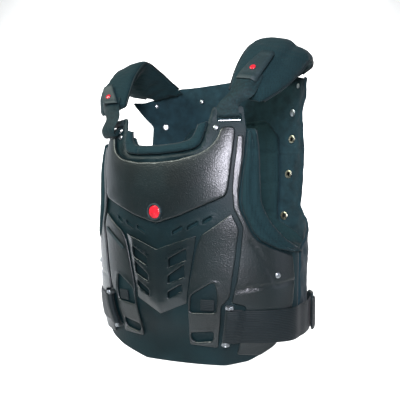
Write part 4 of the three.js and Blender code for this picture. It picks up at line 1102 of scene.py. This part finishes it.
class AddFrontShell(bpy.types.Operator):
    """Adds the base plate with its neck lip, strap slots and vents."""

    bl_idname = "protector.front_shell"
    bl_label = "Front Shell"

    def execute(self, context):
        outline = rounded(both(pattern(SHELL))[1:], 5)
        vents = [rounded(vent_outline(*row), 1.5) for row in VENTS]
        slots = [rounded(pattern(STRAP_SLOT), 2)]
        half = pattern(SHELL[17:])
        neck = half + flipped(half)[1:]
        rise = in_mm(sizes().neck_lip)
        lines = [np.array(hole) for hole in two_sides(vents)]

        def lip(flat):
            gap = distance_to(flat, neck, closed=False)
            vent = np.min([distance_to(flat, hole) for hole in lines], axis=0)
            return rise * bump_at(gap - 5, 3.2) + 1.2 * bump_at(vent - 2, 2.4)

        holes = two_sides([*vents, *slots])
        hard_plate("FrontShell", outline, holes, 0, SHELL_WALL, "shell", ["front_shell"], bevel=1.0,
                   shape=lip)
        return {"FINISHED"}


class AddChestPlate(bpy.types.Operator):
    """Adds the shield over the breast, with a rolled edge."""

    bl_idname = "protector.chest_plate"
    bl_label = "Chest Plate"

    def execute(self, context):
        outline = rounded(both(pattern(CHEST))[1:], 6)

        def crown(flat):
            return 1.6 * np.clip(distance_to(flat, outline) / 40, 0, 1) ** 0.6

        hard_plate("ChestPlate", outline, [], CHEST_FOOT, CHEST_RISE, "plate", ["chest_plate"], bevel=2.0,
                   shape=crown)
        return {"FINISHED"}


class AddGrillePanel(bpy.types.Operator):
    """Adds the centre panel with its broad chamfers and slanted windows."""

    bl_idname = "protector.grille_panel"
    bl_label = "Grille Panel"

    def execute(self, context):
        outline = rounded(both(pattern(GRILLE)), 2)
        windows = [
            rounded(pattern([(a, c), (b, e), (b, f), (a, d)]), 2.5) for a, b, c, d, e, f in GRILLE_WINDOWS
        ]
        side = pattern(GRILLE[:-1])
        rim = flipped(side) + side[1:]
        holes = two_sides(windows)

        def chamfer(flat):
            gap = distance_to(flat, rim, closed=False)
            frame_rise = np.min([distance_to(flat, hole) for hole in holes], axis=0)
            keel = 2.4 * np.clip(1 - np.abs(flat[:, 0]) / 30, 0, 1)
            return keel - 4.0 * np.clip(1 - gap / 13, 0, 1) + 0.9 * bump_at(frame_rise - 2, 1.8)

        hard_plate("GrillePanel", outline, holes, PLATE_FOOT, GRILLE_RISE, "grille", ["grille_panel"],
                   bevel=0.8, cell=4, shape=chamfer)
        return {"FINISHED"}


class AddLowerPlates(bpy.types.Operator):
    """Adds the waist plates, with a window and a slot each."""

    bl_idname = "protector.lower_plates"
    bl_label = "Lower Plates"

    def execute(self, context):
        for side, node_side, _ in SIDES:
            turn = list if side == "Left" else flipped
            outline = rounded(turn(pattern(LOWER)), 4)
            holes = [rounded(turn(pattern(hole)), 5) for hole in (WAIST_WINDOW, WAIST_SLOT)]

            def lips(flat, holes=holes):
                gap = np.min([distance_to(flat, hole) for hole in holes], axis=0)
                return 1.0 * bump_at(gap - 2.5, 2)

            hard_plate(f"LowerPlate{side}", outline, holes, PLATE_FOOT, PLATE_RISE, "plate",
                       [f"lower_plate_{node_side}"], shape=lips)
        return {"FINISHED"}


class AddSidePanels(bpy.types.Operator):
    """Adds the strips beside the chest plate, folded along two creases under the arms."""

    bl_idname = "protector.side_panels"
    bl_label = "Side Panels"

    def execute(self, context):
        for side, node_side, _ in SIDES:
            turn = list if side == "Left" else flipped
            outline = rounded(turn(pattern(SIDE)), 3)
            creases = [turn(pattern(line)) for line in SIDE_CREASES]

            def folds(flat, creases=creases):
                return sum(-1.6 * bump_at(distance_to(flat, line, closed=False), 2.2) for line in creases)

            hard_plate(f"SidePanel{side}", outline, [], SIDE_FOOT, PLATE_RISE, "plate",
                       [f"side_panel_{node_side}"], shape=folds, cell=4)
        return {"FINISHED"}


class AddBadge(bpy.types.Operator):
    """Adds the blank button at the point of the V, its ring, and the blank bar beside the grille."""

    bl_idname = "protector.badge"
    bl_label = "Badge and Bar"

    def execute(self, context):
        centre = wrap([(0, BADGE_UP * SHELL_HEIGHT, CHEST_FOOT + CHEST_RISE + GAP)])[0]
        axis = torso_frame(0, BADGE_UP * SHELL_HEIGHT)
        dish = [(10.2, 0), (10.2, 1.6), (9.6, 2.3), (8.8, 2.5), (7.6, 2.9), (5.4, 3.5), (3, 3.9), (0.2, 4.0)]
        finished("Badge", turned(dish, centre, axis, 40), "red", ["badge"])
        ring = [(10.5, 0), (13.7, 0), (13.7, 2.2), (13.2, 3.4), (12.4, 4.0), (11.6, 4.0), (10.9, 3.4),
                (10.5, 2.4), (10.5, 0)]
        finished("BadgeRing", turned(ring, centre, axis, 40), "rubber", ["badge_ring"])
        (start, low), (end, high) = LABEL
        a, b = at(start, low), at(end, high)
        lean = np.array([-(b - a)[1], (b - a)[0]]) / np.hypot(*(b - a)) * 3
        outline = rounded(flipped([a - lean, b - lean, b + lean, a + lean]), 2)
        foot = PLATE_FOOT + PLATE_RISE + SEAT
        hard_plate("BlankBar", outline, [], foot, 1.0, "rubber", ["label_plate"], bevel=0.4,
                   cell=3)
        return {"FINISHED"}


class AddFrontPad(bpy.types.Operator):
    """Adds the padded liner behind the shell."""

    bl_idname = "protector.front_pad"
    bl_label = "Front Pad"

    def execute(self, context):
        outline = rounded(both(pattern(PAD))[1:], 5)

        def quilting(flat, gap):
            channels = np.minimum(np.abs((flat[:, 0] + 210) % 70 - 35), np.abs(flat[:, 1] % 62 - 31))
            return -2.2 * bump_at(channels, 3.5) + 0.8 * ripple(flat, 60, 3)

        soft_pad("FrontPad", outline, [], PAD_FACE, PAD_THICKNESS, "mesh", ["front_pad"], inward=True,
                 shape=quilting, cell=4)
        return {"FINISHED"}


class AddTrims(bpy.types.Operator):
    """Adds the padded bands round the neck and the armholes, with their channels and binding."""

    bl_idname = "protector.trims"
    bl_label = "Padded Trims"

    def execute(self, context):
        binding = in_mm(sizes().piping)
        for side, node_side, _ in SIDES:
            turn = list if side == "Left" else flipped
            inner = turn([at(row[0], row[2]) for row in ARM_TRIM])
            outer = turn([at(row[1], row[2]) for row in ARM_TRIM])
            ring = inner + outer[::-1]
            middle = [a * 0.52 + b * 0.48 for a, b in zip(inner, outer)]
            second = [a * 0.42 + b * 0.58 for a, b in zip(inner, outer)]

            def channels(flat, gap, middle=middle, second=second, outer=outer):
                fall = np.clip(1 - distance_to(flat, outer, closed=False) / 22, 0, 1)
                grooves = bump_at(distance_to(flat, middle, closed=False), 1.8)
                grooves += 0.7 * bump_at(distance_to(flat, second, closed=False), 1.4)
                return -3.0 * grooves - 3.4 * fall**1.5 + 0.7 * ripple(flat, 26, 5)

            soft_pad(f"ArmTrim{side}", rounded(ring, 4), [], TRIM_SEAT, TRIM_THICKNESS, "mesh",
                     [f"arm_trim_{node_side}"], shape=channels, cell=3, roll=6)
            edge = spaced(smooth_line(outer, 60), 3)
            lift = TRIM_SEAT + 1.8
            cord = tube(on_pattern(edge, lift) * MM, binding)
            finished(f"ArmBinding{side}", cord, "binding")
            seam = spaced(smooth_line(middle, 80)[4:-4], 2)
            stitches(f"ArmStitches{side}", [on_pattern(seam, TRIM_SEAT + TRIM_THICKNESS - 4.4)])

        left_outer = [at(row[0], row[1]) for row in NECK_TRIM]
        left_inner = [at(row[2], row[3]) for row in NECK_TRIM]
        outer = flipped(left_outer) + left_outer[1:]
        inner = flipped(left_inner) + left_inner[1:]
        ring = outer + inner[::-1]
        seams = [girth(around) for around in NECK_SEAMS]

        def cross_seams(flat, gap):
            near = np.min([np.abs(flat[:, 0] - spot) for spot in seams], axis=0)
            return -2.6 * bump_at(near, 1.6) + 0.5 * ripple(flat, 24, 8)

        soft_pad("NeckTrim", rounded(ring, 3), [], TRIM_SEAT, TRIM_THICKNESS, "mesh", ["neck_trim"],
                 shape=cross_seams, cell=3, roll=6)
        edge = spaced(smooth_line(inner, 90), 3)
        cord = tube(on_pattern(edge, TRIM_SEAT + 1.8) * MM, binding)
        finished("NeckBinding", cord, "binding")
        return {"FINISHED"}


class AddBackPanel(bpy.types.Operator):
    """Adds the cloth back with its side wings, pierced for the eyelets."""

    bl_idname = "protector.back_panel"
    bl_label = "Back Panel"

    def execute(self, context):
        outline = rounded(behind(PANEL), 6)
        spots = [at(around, up, VEST_HEIGHT) for around, up in EYELETS]
        spots += [at(4 - around, up, VEST_HEIGHT) for around, up in EYELETS]
        holes = [circle(spot, 5.0) for spot in spots]
        rise = in_mm(sizes().crease)
        seams = []
        for turn in (lambda around: around, lambda around: 4 - around):
            seams.append([at(turn(1.6), 0.12, VEST_HEIGHT), at(turn(1.62), 0.95, VEST_HEIGHT)])
            seams.append([at(turn(1.33), 0.685, VEST_HEIGHT), at(turn(1.6), 0.7, VEST_HEIGHT)])
            seams.append([at(turn(1.3), 0.8, VEST_HEIGHT), at(turn(1.55), 0.79, VEST_HEIGHT)])

        def creases(flat, gap):
            lines = sum(bump_at(distance_to(flat, line, closed=False), 2.0) for line in seams)
            pull = sum(bump_at(distance_to(flat, [spot, spot]) - 14, 7) for spot in spots)
            hem = bump_at(gap - 9, 1.6)
            folds = rise * (ripple(flat, 44, 11) + 0.6 * ripple(flat, 19, 12))
            return folds - 1.2 * lines + 0.7 * pull - 0.9 * hem

        soft_pad("BackPanel", outline, holes, PANEL_INSIDE, PANEL_WALL, "lining", ["back_panel"],
                 shape=creases, both_sides=True, thin=True, roll=2.5, cell=5)
        return {"FINISHED"}


class AddBackPad(bpy.types.Operator):
    """Adds the quilted cushion inside the back."""

    bl_idname = "protector.back_pad"
    bl_label = "Back Pad"

    def execute(self, context):
        outline = rounded(behind(CUSHION), 10)

        def quilting(flat, gap):
            rows = np.abs((flat[:, 1] + 20) % 58 - 29)
            column = np.abs(np.abs(flat[:, 0] - HALF_GIRTH) - 62)
            return -4.2 * bump_at(rows, 4.5) - 3.4 * bump_at(column, 4) + 1.0 * ripple(flat, 40, 21)

        face = PANEL_INSIDE - SEAT - GAP
        soft_pad("BackPad", outline, [], face, BACK_PAD_THICKNESS, "mesh", ["back_pad"], inward=True,
                 shape=quilting, roll=10, cell=5)
        return {"FINISHED"}


class AddBackShell(bpy.types.Operator):
    """Adds the hard plate behind the back, with a raised spine and ribs."""

    bl_idname = "protector.back_shell"
    bl_label = "Back Shell"

    def execute(self, context):
        outline = rounded(behind(BACK_SHELL), 12)

        def ribs(flat):
            middle = np.abs(flat[:, 0] - HALF_GIRTH)
            spine = np.clip((62 - middle) / 9, 0, 1)
            waves = np.clip(1.6 - np.abs((flat[:, 1] + 14) % 46 - 23) / 9, 0, 1)
            rim = bump_at(distance_to(flat, outline) - 12, 4)
            return SPINE_RISE * spine * (0.62 + 0.38 * waves) + 1.2 * rim

        hard_plate("BackShell", outline, [], BENT_SEAT, SHELL_WALL, "plate", ["back_shell"], bevel=1.2,
                   cell=4, shape=ribs)
        return {"FINISHED"}


class AddFittings(bpy.types.Operator):
    """Adds the eyelets, washers and rivets, all turned."""

    bl_idname = "protector.fittings"
    bl_label = "Eyelets and Rivets"

    def turn_pair(self, name, node_name, profile, around, height, lift, key, inward=False):
        for side, node_side, flip in SIDES:
            place = around * flip
            centre = wrap([(girth(place), height, lift)])[0]
            axis = torso_frame(place, height) * (-1 if inward else 1)
            mesh = turned(profile, centre, axis)
            finished(f"{name}{side}", mesh, key, [f"{node_name}_{node_side}"])

    def execute(self, context):
        barrel = 1.3 + GAP + PANEL_WALL
        lip = [(4.3, 0.6), (4.7, 0.1), (5.6, 0), (7.3, 0.3), (8, 0.9), (7.6, 1.3), (5.2, 1.3), (5.2, barrel),
               (4.7, barrel + 0.1), (4.3, barrel - 0.4), (4.3, 0.6)]
        for i, (around, up) in enumerate(EYELETS, 1):
            foot = PANEL_INSIDE - 2 * GAP - 1.3
            self.turn_pair(f"Eyelet{i}", f"eyelet_{i}", lip, around, up * VEST_HEIGHT, foot, "brass")
        for name, around, up, radius, height in BACK_FIXINGS:
            profile = dome_profile(radius, height)
            title = "Back" + "".join(word.title() for word in name.split("_"))
            self.turn_pair(title, f"back_{name}", profile, around, up * VEST_HEIGHT, PANEL_INSIDE - 2 * GAP,
                           "steel", inward=True)
        head = dome_profile(*RIVET)
        around, up = TAB_RIVET
        self.turn_pair("TabRivet", "tab_rivet", head, around, up * SHELL_HEIGHT, SHELL_WALL + GAP, "steel")
        around, up = SIDE_RIVET
        self.turn_pair("SideRivet", "side_rivet", head, around, up * SHELL_HEIGHT,
                       SIDE_FOOT + PLATE_RISE + GAP, "steel")
        for _, node_side, _ in SIDES:
            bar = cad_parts[f"strap_bar_{node_side}"]
            bar.data.materials.clear()
            bar.data.materials.append(finish("steel"))
        return {"FINISHED"}


class AddShoulderPads(bpy.types.Operator):
    """Adds the padded shoulders, blown up by a cloth simulation between their seams."""

    bl_idname = "protector.shoulder_pads"
    bl_label = "Shoulder Pads"

    def execute(self, context):
        for (side, node_side, flip), table in zip(SIDES, (SHOULDER_LEFT, SHOULDER_RIGHT)):
            edges = shoulder_edges(table)
            turn = np.array([flip, 1, 1])
            count = 30
            around = np.linspace(0, 2 * math.pi, 2 * count, endpoint=False)
            loops = []
            for along in np.linspace(0.0, 1, 60):
                loop = []
                end = min(1.0, (1 - along) / 0.05, (along + 0.01) / 0.05)
                round_end = math.sqrt(max(1 - (1 - end) ** 2, 0.06))
                for angle in around:
                    across = 0.5 - 0.5 * math.copysign(abs(math.cos(angle)) ** 0.7, math.cos(angle))
                    height = math.copysign(abs(math.sin(angle)) ** 0.55, math.sin(angle))
                    point, normal, deep = shoulder_point(edges, along, across)
                    half = (SHOULDER_THICKNESS / 2 - 0.5) * deep * round_end
                    middle = -SHOULDER_THICKNESS / 2 * deep
                    crown = SHOULDER_CROWN * deep * (1 - abs(2 * across - 1) ** 1.4) if height > 0 else 0
                    valley = -VALLEY_DEPTH * bump_at(across - VALLEY, 0.05) * (height > 0) * min(1, 4 * along)
                    lift = middle + height * half + (crown + valley) * round_end
                    loop.append((point + normal * lift) * turn)
                loops.append(np.array(loop) * MM)
            piece = finished(f"ShoulderPad{side}", lofted(f"ShoulderPad{side}", loops), "mesh",
                             [f"shoulder_pad_{node_side}"], 60)
            seams = []
            for across, lift in ((0.0, 0), (1.0, 0), (VALLEY, -2)):
                line = []
                for along in np.linspace(0, 1, 90):
                    point, normal, deep = shoulder_point(edges, along, across)
                    drop = -SHOULDER_THICKNESS / 2 * deep if across in (0.0, 1.0) else lift
                    line.append((point + normal * drop) * turn)
                seams.append(np.array(line))
            puffed(piece, lambda points, seams=seams: near_lines(points, seams, 7))
            mesh = piece.data
            spots = coordinates(mesh)
            mesh.update()
            normals = np.empty(len(spots) * 3)
            mesh.vertices.foreach_get("normal", normals)
            soft = 0.8 * seeded(spots / MM, 34, 4) + 0.4 * seeded(spots / MM, 14, 9)
            set_coordinates(mesh, spots + normals.reshape(-1, 3) * soft[:, None] * MM)
            for name, line in zip(("Inner", "Outer"), seams):
                cord = tube(spaced(line[6:-2], 3) * MM, in_mm(sizes().piping))
                finished(f"Shoulder{name}Binding{side}", cord, "binding")
        return {"FINISHED"}


class AddStraps(bpy.types.Operator):
    """Adds the shoulder straps, the slack one folded, with their tabs and buttons."""

    bl_idname = "protector.straps"
    bl_label = "Shoulder Straps"

    def execute(self, context):
        slot_top = STRAP_SLOT[2][1] * SHELL_HEIGHT
        front = SHELL_WALL + 2 * SEAT
        turn = slot_top - GAP - STRAP_WALL
        turn_up = [(-SEAT, SHELL_HEIGHT), (-SEAT, turn), (front, turn), (front, SHELL_HEIGHT)]
        slack = (
            # lift of the inner edge, lift of the outer edge, height
            (11, 13, slot_top - 18), (17, 21, slot_top - 9), (13, 19, SHELL_HEIGHT),
        )
        arounds = np.linspace(*STRAP_EDGES, 7)
        for (side, node_side, flip), table in zip(SIDES, (SHOULDER_LEFT, SHOULDER_RIGHT)):
            edges = shoulder_edges(table)
            mirror = np.array([flip, 1, 1])
            tab_start = TAB_START[side]
            lines = []
            for i, around in enumerate(arounds):
                share = i / (len(arounds) - 1)
                loose = [(a + (b - a) * share, height) for a, b, height in slack]
                turns = turn_up if side == "Left" else [*turn_up[:3], *loose]
                line = [wrap([(girth(around), height, lift)])[0] / MM for lift, height in turns]
                for back, start, end in STRAP_CLIMB[: tab_start + 2]:
                    across = start + (end - start) * share
                    line.append(over_shoulder(edges, 1 - back / SHOULDER_COLUMNS, across, STRAP_SEAT))
                lines.append(line)
            places = even_places(lines[len(lines) // 2], 110)
            lines = [np.array([catmull(line, t) for t in places]) * mirror for line in lines]
            folds = in_mm(sizes().strap_fold) if side == "Right" else 0.6

            def puff(along, share, folds=folds):
                span = np.clip((along - 0.34) / 0.1, 0, 1) * np.clip((0.86 - along) / 0.1, 0, 1)
                wave = np.sin(2 * math.pi * ((along - 0.34) / 0.35 + 0.25 * share))
                return folds * span * (0.2 + wave * 0.1)

            mesh_lines = np.array(lines)
            if flip < 0:
                mesh_lines = mesh_lines[::-1]
            ribbon(f"ShoulderStrap{side}", mesh_lines, STRAP_WALL, "tape", [f"shoulder_strap_{node_side}"],
                   puff=puff)

            lift = STRAP_SEAT + STRAP_WALL + SEAT + (2.5 if side == "Right" else 0)
            tab_lines = []
            for share in np.linspace(0, 1, 13):
                line = [
                    over_shoulder(edges, 1 - (back + tab_start) / SHOULDER_COLUMNS, a + (b - a) * share, lift)
                    for back, a, b in TAB
                ]
                tab_lines.append(smooth_line(line, 40) * mirror)
            tab_lines = np.array(tab_lines)
            if flip < 0:
                tab_lines = tab_lines[::-1]

            def rim(along, share):
                edge = np.minimum(np.minimum(share, 1 - share) * 1.2, min(along, 1 - along))
                return 0.5 * bump_at(edge - 0.09, 0.05) - 0.5 * np.clip((edge - 0.12) / 0.1, 0, 1)

            ribbon(f"StrapTab{side}", tab_lines, TAB_RISE, "rubber", [f"strap_tab_{node_side}"],
                   puff=rim)
            along, across = 1 - (DOT[0] + tab_start) / SHOULDER_COLUMNS, DOT[1]
            lift += TAB_RISE - 0.2
            foot, ahead, beside = (
                over_shoulder(edges, along - a, across + b, lift) * mirror
                for a, b in ((0, 0), (0.02, 0), (0, 0.02))
            )
            out = np.cross(beside - foot, ahead - foot) * flip
            dot = turned(dome_profile(4.8, 1.9, 0.4), foot * MM, out, 32)
            finished(f"TabDot{side}", dot, "red", [f"tab_dot_{node_side}"])
        return {"FINISHED"}


class AddBelts(bpy.types.Operator):
    """Adds the waist belts with their rollers, sliders and rear straps."""

    bl_idname = "protector.belts"
    bl_label = "Waist Belts"

    def execute(self, context):
        def on(face):
            return face + SEAT + BELT_WALL / 2

        wrap_radius = PIN_RADIUS + SEAT + BELT_WALL / 2
        pin = PIN_AROUND * FRONT_QUARTER
        slider = FRONT_QUARTER * 1.15
        side_top = SIDE_FOOT + PLATE_RISE
        under = SLIDER_FLOOR - GAP - BELT_WALL / 2
        over = SLIDER_FLOOR + SLIDER_WALL + SEAT + BELT_WALL / 2
        turns = np.linspace(0, math.pi, 9)
        loop = [(pin - math.sin(t) * wrap_radius, PIN_LIFT - math.cos(t) * wrap_radius) for t in turns]
        path = [
            (pin + 19, on(SHELL_WALL)), (pin + 6, on(SHELL_WALL)), *loop,
            (pin + 12, PIN_LIFT + wrap_radius - 1.5), (pin + 22, on(side_top) + 1), (pin + 30, on(side_top)),
            *((FRONT_QUARTER * share, on(side_top)) for share in (0.68, 0.76, 0.84)),
            (FRONT_QUARTER * 0.92, on(SHELL_WALL)), (FRONT_QUARTER, under), (FRONT_QUARTER * 1.08, under),
            (slider + SLIDER_BAR, under),
            (slider + SLIDER_BAR + SLIDER_SLOT / 2, SLIDER_FLOOR + SLIDER_WALL / 2),
            (slider + SLIDER_BAR, over), (slider - SLIDER_BAR, over), (slider - 2 * SLIDER_SLOT, over - 2),
        ]
        width = 3 * SLIDER_BAR + 2 * SLIDER_SLOT
        bar = slider + width - SLIDER_BAR
        rear = [
            (bar + 27, over - 2), (bar + SLIDER_SLOT, over), (bar, over),
            (bar - SLIDER_SLOT / 2, SLIDER_FLOOR + SLIDER_WALL / 2), (bar, under), (bar + 18, under),
            (bar + 36, on(BACK_FACE)), (bar + 72, on(BACK_FACE)),
        ]
        low, high = BELT_LOW - SLIDER_RIM, BELT_HIGH + SLIDER_RIM

        def box(x0, x1, y0, y1):
            return [np.array(corner, float) for corner in ((x0, y0), (x1, y0), (x1, y1), (x0, y1))]

        frame_outline = box(slider, slider + width, low, high)
        slot_low, slot_high = BELT_LOW - 1.5, BELT_HIGH + 1.5
        slots = [
            box(slider + start, slider + start + SLIDER_SLOT, slot_low, slot_high)
            for start in (SLIDER_BAR, 2 * SLIDER_BAR + SLIDER_SLOT)
        ]
        end = box(0.285 * FRONT_QUARTER, 0.37 * FRONT_QUARTER, 0.236 * SHELL_HEIGHT, 0.278 * SHELL_HEIGHT)
        for side, node_side, flip in SIDES:
            turn = list if flip > 0 else flipped
            mirror = np.array([flip, 1])
            girth_strap(f"Belt{side}", np.array(path) * mirror, BELT_LOW, BELT_HIGH, BELT_WALL, "belt",
                        [f"belt_{node_side}"])
            girth_strap(f"RearStrap{side}", np.array(rear) * mirror, BELT_LOW, BELT_HIGH, BELT_WALL, "belt",
                        [f"rear_strap_{node_side}"], steps=70)
            openings = [rounded(turn(slot), 2) for slot in slots]
            hard_plate(f"RearSlider{side}", rounded(turn(frame_outline), 4), openings, SLIDER_FLOOR,
                       SLIDER_WALL, "rubber", [f"rear_slider_{node_side}"], bevel=1.1, cell=4)
            hard_plate(f"BeltEnd{side}", rounded(turn(end), 2), [], SHELL_WALL + SEAT, BELT_WALL, "belt",
                       [f"belt_end_{node_side}"], bevel=0.8, cell=4)
            self.roller(side, node_side, flip)
        return {"FINISHED"}

    def roller(self, side, node_side, flip):
        place = PIN_AROUND * flip
        lug, gap = 5, 1.2
        low, high = BELT_LOW - gap - lug / 2, BELT_HIGH + gap + lug / 2
        ends = wrap([(girth(place), BELT_LOW, PIN_LIFT), (girth(place), BELT_HIGH, PIN_LIFT)])
        axis = (ends[1] - ends[0]) / np.linalg.norm(ends[1] - ends[0])
        tall = high - low
        foot = ends[0] - axis * (BELT_LOW - low) * MM
        profile = [(3.9, -2.4), (4.3, -1.6), (3.9, -0.8), (PIN_RADIUS, -0.6),
                   (PIN_RADIUS, tall + 0.6), (4.1, tall + 0.9), (4.4, tall + 2.2), (3.6, tall + 4.2),
                   (1, tall + 4.5)]
        parts = [turned(profile, foot, axis)]
        for height in (low, high):
            base = wrap([(girth(place), height, SHELL_WALL + SEAT)])[0]
            out = torso_frame(place, height)
            out[2] = 0
            out /= np.linalg.norm(out)
            deep = PIN_LIFT + PIN_RADIUS - SHELL_WALL - SEAT
            block = bpy.data.meshes.new("lug")
            bm = bmesh.new()
            bmesh.ops.create_cube(bm, size=1)
            bmesh.ops.scale(bm, vec=(12 * MM, deep * MM, lug * MM), verts=bm.verts)
            bmesh.ops.translate(bm, vec=(0, deep / 2 * MM, 0), verts=bm.verts)
            bmesh.ops.bevel(bm, geom=bm.edges[:], offset=0.9 * MM, segments=3, affect="EDGES")
            basis = Matrix(((out[1], out[0], 0), (-out[0], out[1], 0), (0, 0, 1))).to_4x4()
            basis.translation = Vector(base)
            bm.transform(basis)
            bm.to_mesh(block)
            bm.free()
            parts.append(block)
        finished(f"Roller{side}", joined(parts), "steel", [f"buckle_pin_{node_side}"], 35)


class AddStage(bpy.types.Operator):
    """Adds the pale floor and backdrop, the soft lights and the camera."""

    bl_idname = "protector.stage"
    bl_label = "Stage, Lights and Camera"

    def execute(self, context):
        scene = bpy.context.scene
        data = bpy.data.cameras.new("Camera")
        data.lens = 37.35
        data.sensor_width = 36
        camera = bpy.data.objects.new("Camera", data)
        scene.collection.objects.link(camera)
        camera.location = (0.3835, -0.6642, -0.255)
        aim = Vector((-0.5, 0.866, 0.0122))
        camera.rotation_euler = aim.to_track_quat("-Z", "Y").to_euler()
        scene.camera = camera

        floor, radius, reach, half = -0.86, 1.2, 3.0, 6.0
        turns = np.linspace(0, math.pi / 2, 24)
        arc = [(reach + radius * math.sin(a), floor + radius * (1 - math.cos(a))) for a in turns]
        section = [(-5.0, floor), *arc, (reach + radius, 6.0)]
        ahead = Vector((aim.x, aim.y, 0)).normalized()
        side = Vector((-ahead.y, ahead.x, 0))
        points = []
        for along, up in section:
            points += [ahead * along + side * across + Vector((0, 0, up)) for across in (-half, half)]
        faces = [(2 * i, 2 * i + 1, 2 * i + 3, 2 * i + 2) for i in range(len(section) - 1)]
        mesh = bpy.data.meshes.new("Backdrop")
        mesh.from_pydata(points, [], faces)
        mesh.shade_smooth()
        mesh.materials.append(finish("paper"))
        sweep = bpy.data.objects.new("Backdrop", mesh)
        scene.collection.objects.link(sweep)

        scene.view_settings.view_transform = "Standard"
        world = bpy.data.worlds.new("Studio")
        scene.world = world
        world.use_nodes = True
        background = world.node_tree.nodes["Background"]
        background.inputs["Color"].default_value = linear("#EEF4F6")
        background.inputs["Strength"].default_value = 0.07
        for name, spot, target, size, power, spread, tint in LIGHTS:
            light = bpy.data.lights.new(name, "AREA")
            light.shape = "RECTANGLE"
            light.size, light.size_y = size
            light.energy = power
            light.spread = math.radians(spread)
            light.color = linear(tint)[:3]
            lamp = bpy.data.objects.new(name, light)
            scene.collection.objects.link(lamp)
            lamp.location = spot
            lamp.rotation_euler = (Vector(target) - lamp.location).to_track_quat("-Z", "Y").to_euler()
        return {"FINISHED"}


LIGHTS = (
    # name, place, aim, size, power in watts, spread in degrees, colour
    ("KeyLight", (0.58, -1.2, 0.12), (0.1, -0.1, -0.2), (0.22, 0.7), 10, 110, "#F4F2FF"),
    ("ChestLight", (-0.9, -1.05, 0.95), (0.0, -0.1, -0.15), (0.9, 0.6), 8, 100, "#F2F8EC"),
    ("LeftLight", (-1.6, 0.0, -0.2), (-0.1, 0.0, -0.25), (0.9, 1.2), 5, 180, "#E8F0FA"),
    ("RimLight", (-1.3, 0.95, -0.1), (-0.1, 0.0, -0.25), (0.5, 1.2), 5, 180, "#E2EAFF"),
    ("RightLight", (1.6, -0.05, -0.1), (0.1, 0.0, -0.25), (0.7, 1.1), 3, 180, "#E8ECFF"),
    ("BackdropLight", (-0.9, 1.6, 1.6), (-1.9, 3.4, -0.3), (3.0, 2.0), 230, 180, "#FFFFFF"),
)

OPERATORS = (
    AddFrontShell, AddChestPlate, AddGrillePanel, AddLowerPlates, AddSidePanels, AddBadge, AddFrontPad,
    AddTrims, AddBackPanel, AddBackPad, AddBackShell, AddFittings, AddShoulderPads, AddStraps, AddBelts,
    AddStage,
)


class ProtectorPanel(bpy.types.Panel):
    """Sizes, colours and pieces of the vest."""

    bl_idname = "VIEW3D_PT_protector"
    bl_label = "Body Protector"
    bl_space_type = "VIEW_3D"
    bl_region_type = "UI"
    bl_category = "Protector"

    def draw(self, context):
        for group in (context.scene.protector_sizes, context.scene.protector_colours):
            for key in group.__annotations__:
                self.layout.prop(group, key)
        for operator in OPERATORS:
            self.layout.operator(operator.bl_idname)


CLASSES = (ProtectorSizes, ProtectorColours, *OPERATORS, ProtectorPanel)


def register():
    for cls in CLASSES:
        bpy.utils.register_class(cls)
    bpy.types.Scene.protector_sizes = bpy.props.PointerProperty(type=ProtectorSizes)
    bpy.types.Scene.protector_colours = bpy.props.PointerProperty(type=ProtectorColours)


def unregister():
    del bpy.types.Scene.protector_colours
    del bpy.types.Scene.protector_sizes
    for cls in reversed(CLASSES):
        bpy.utils.unregister_class(cls)


def main():
    register()
    for operator in OPERATORS:
        group, name = operator.bl_idname.split(".")
        getattr(getattr(bpy.ops, group), name)()


if __name__ == "__main__":
    main()
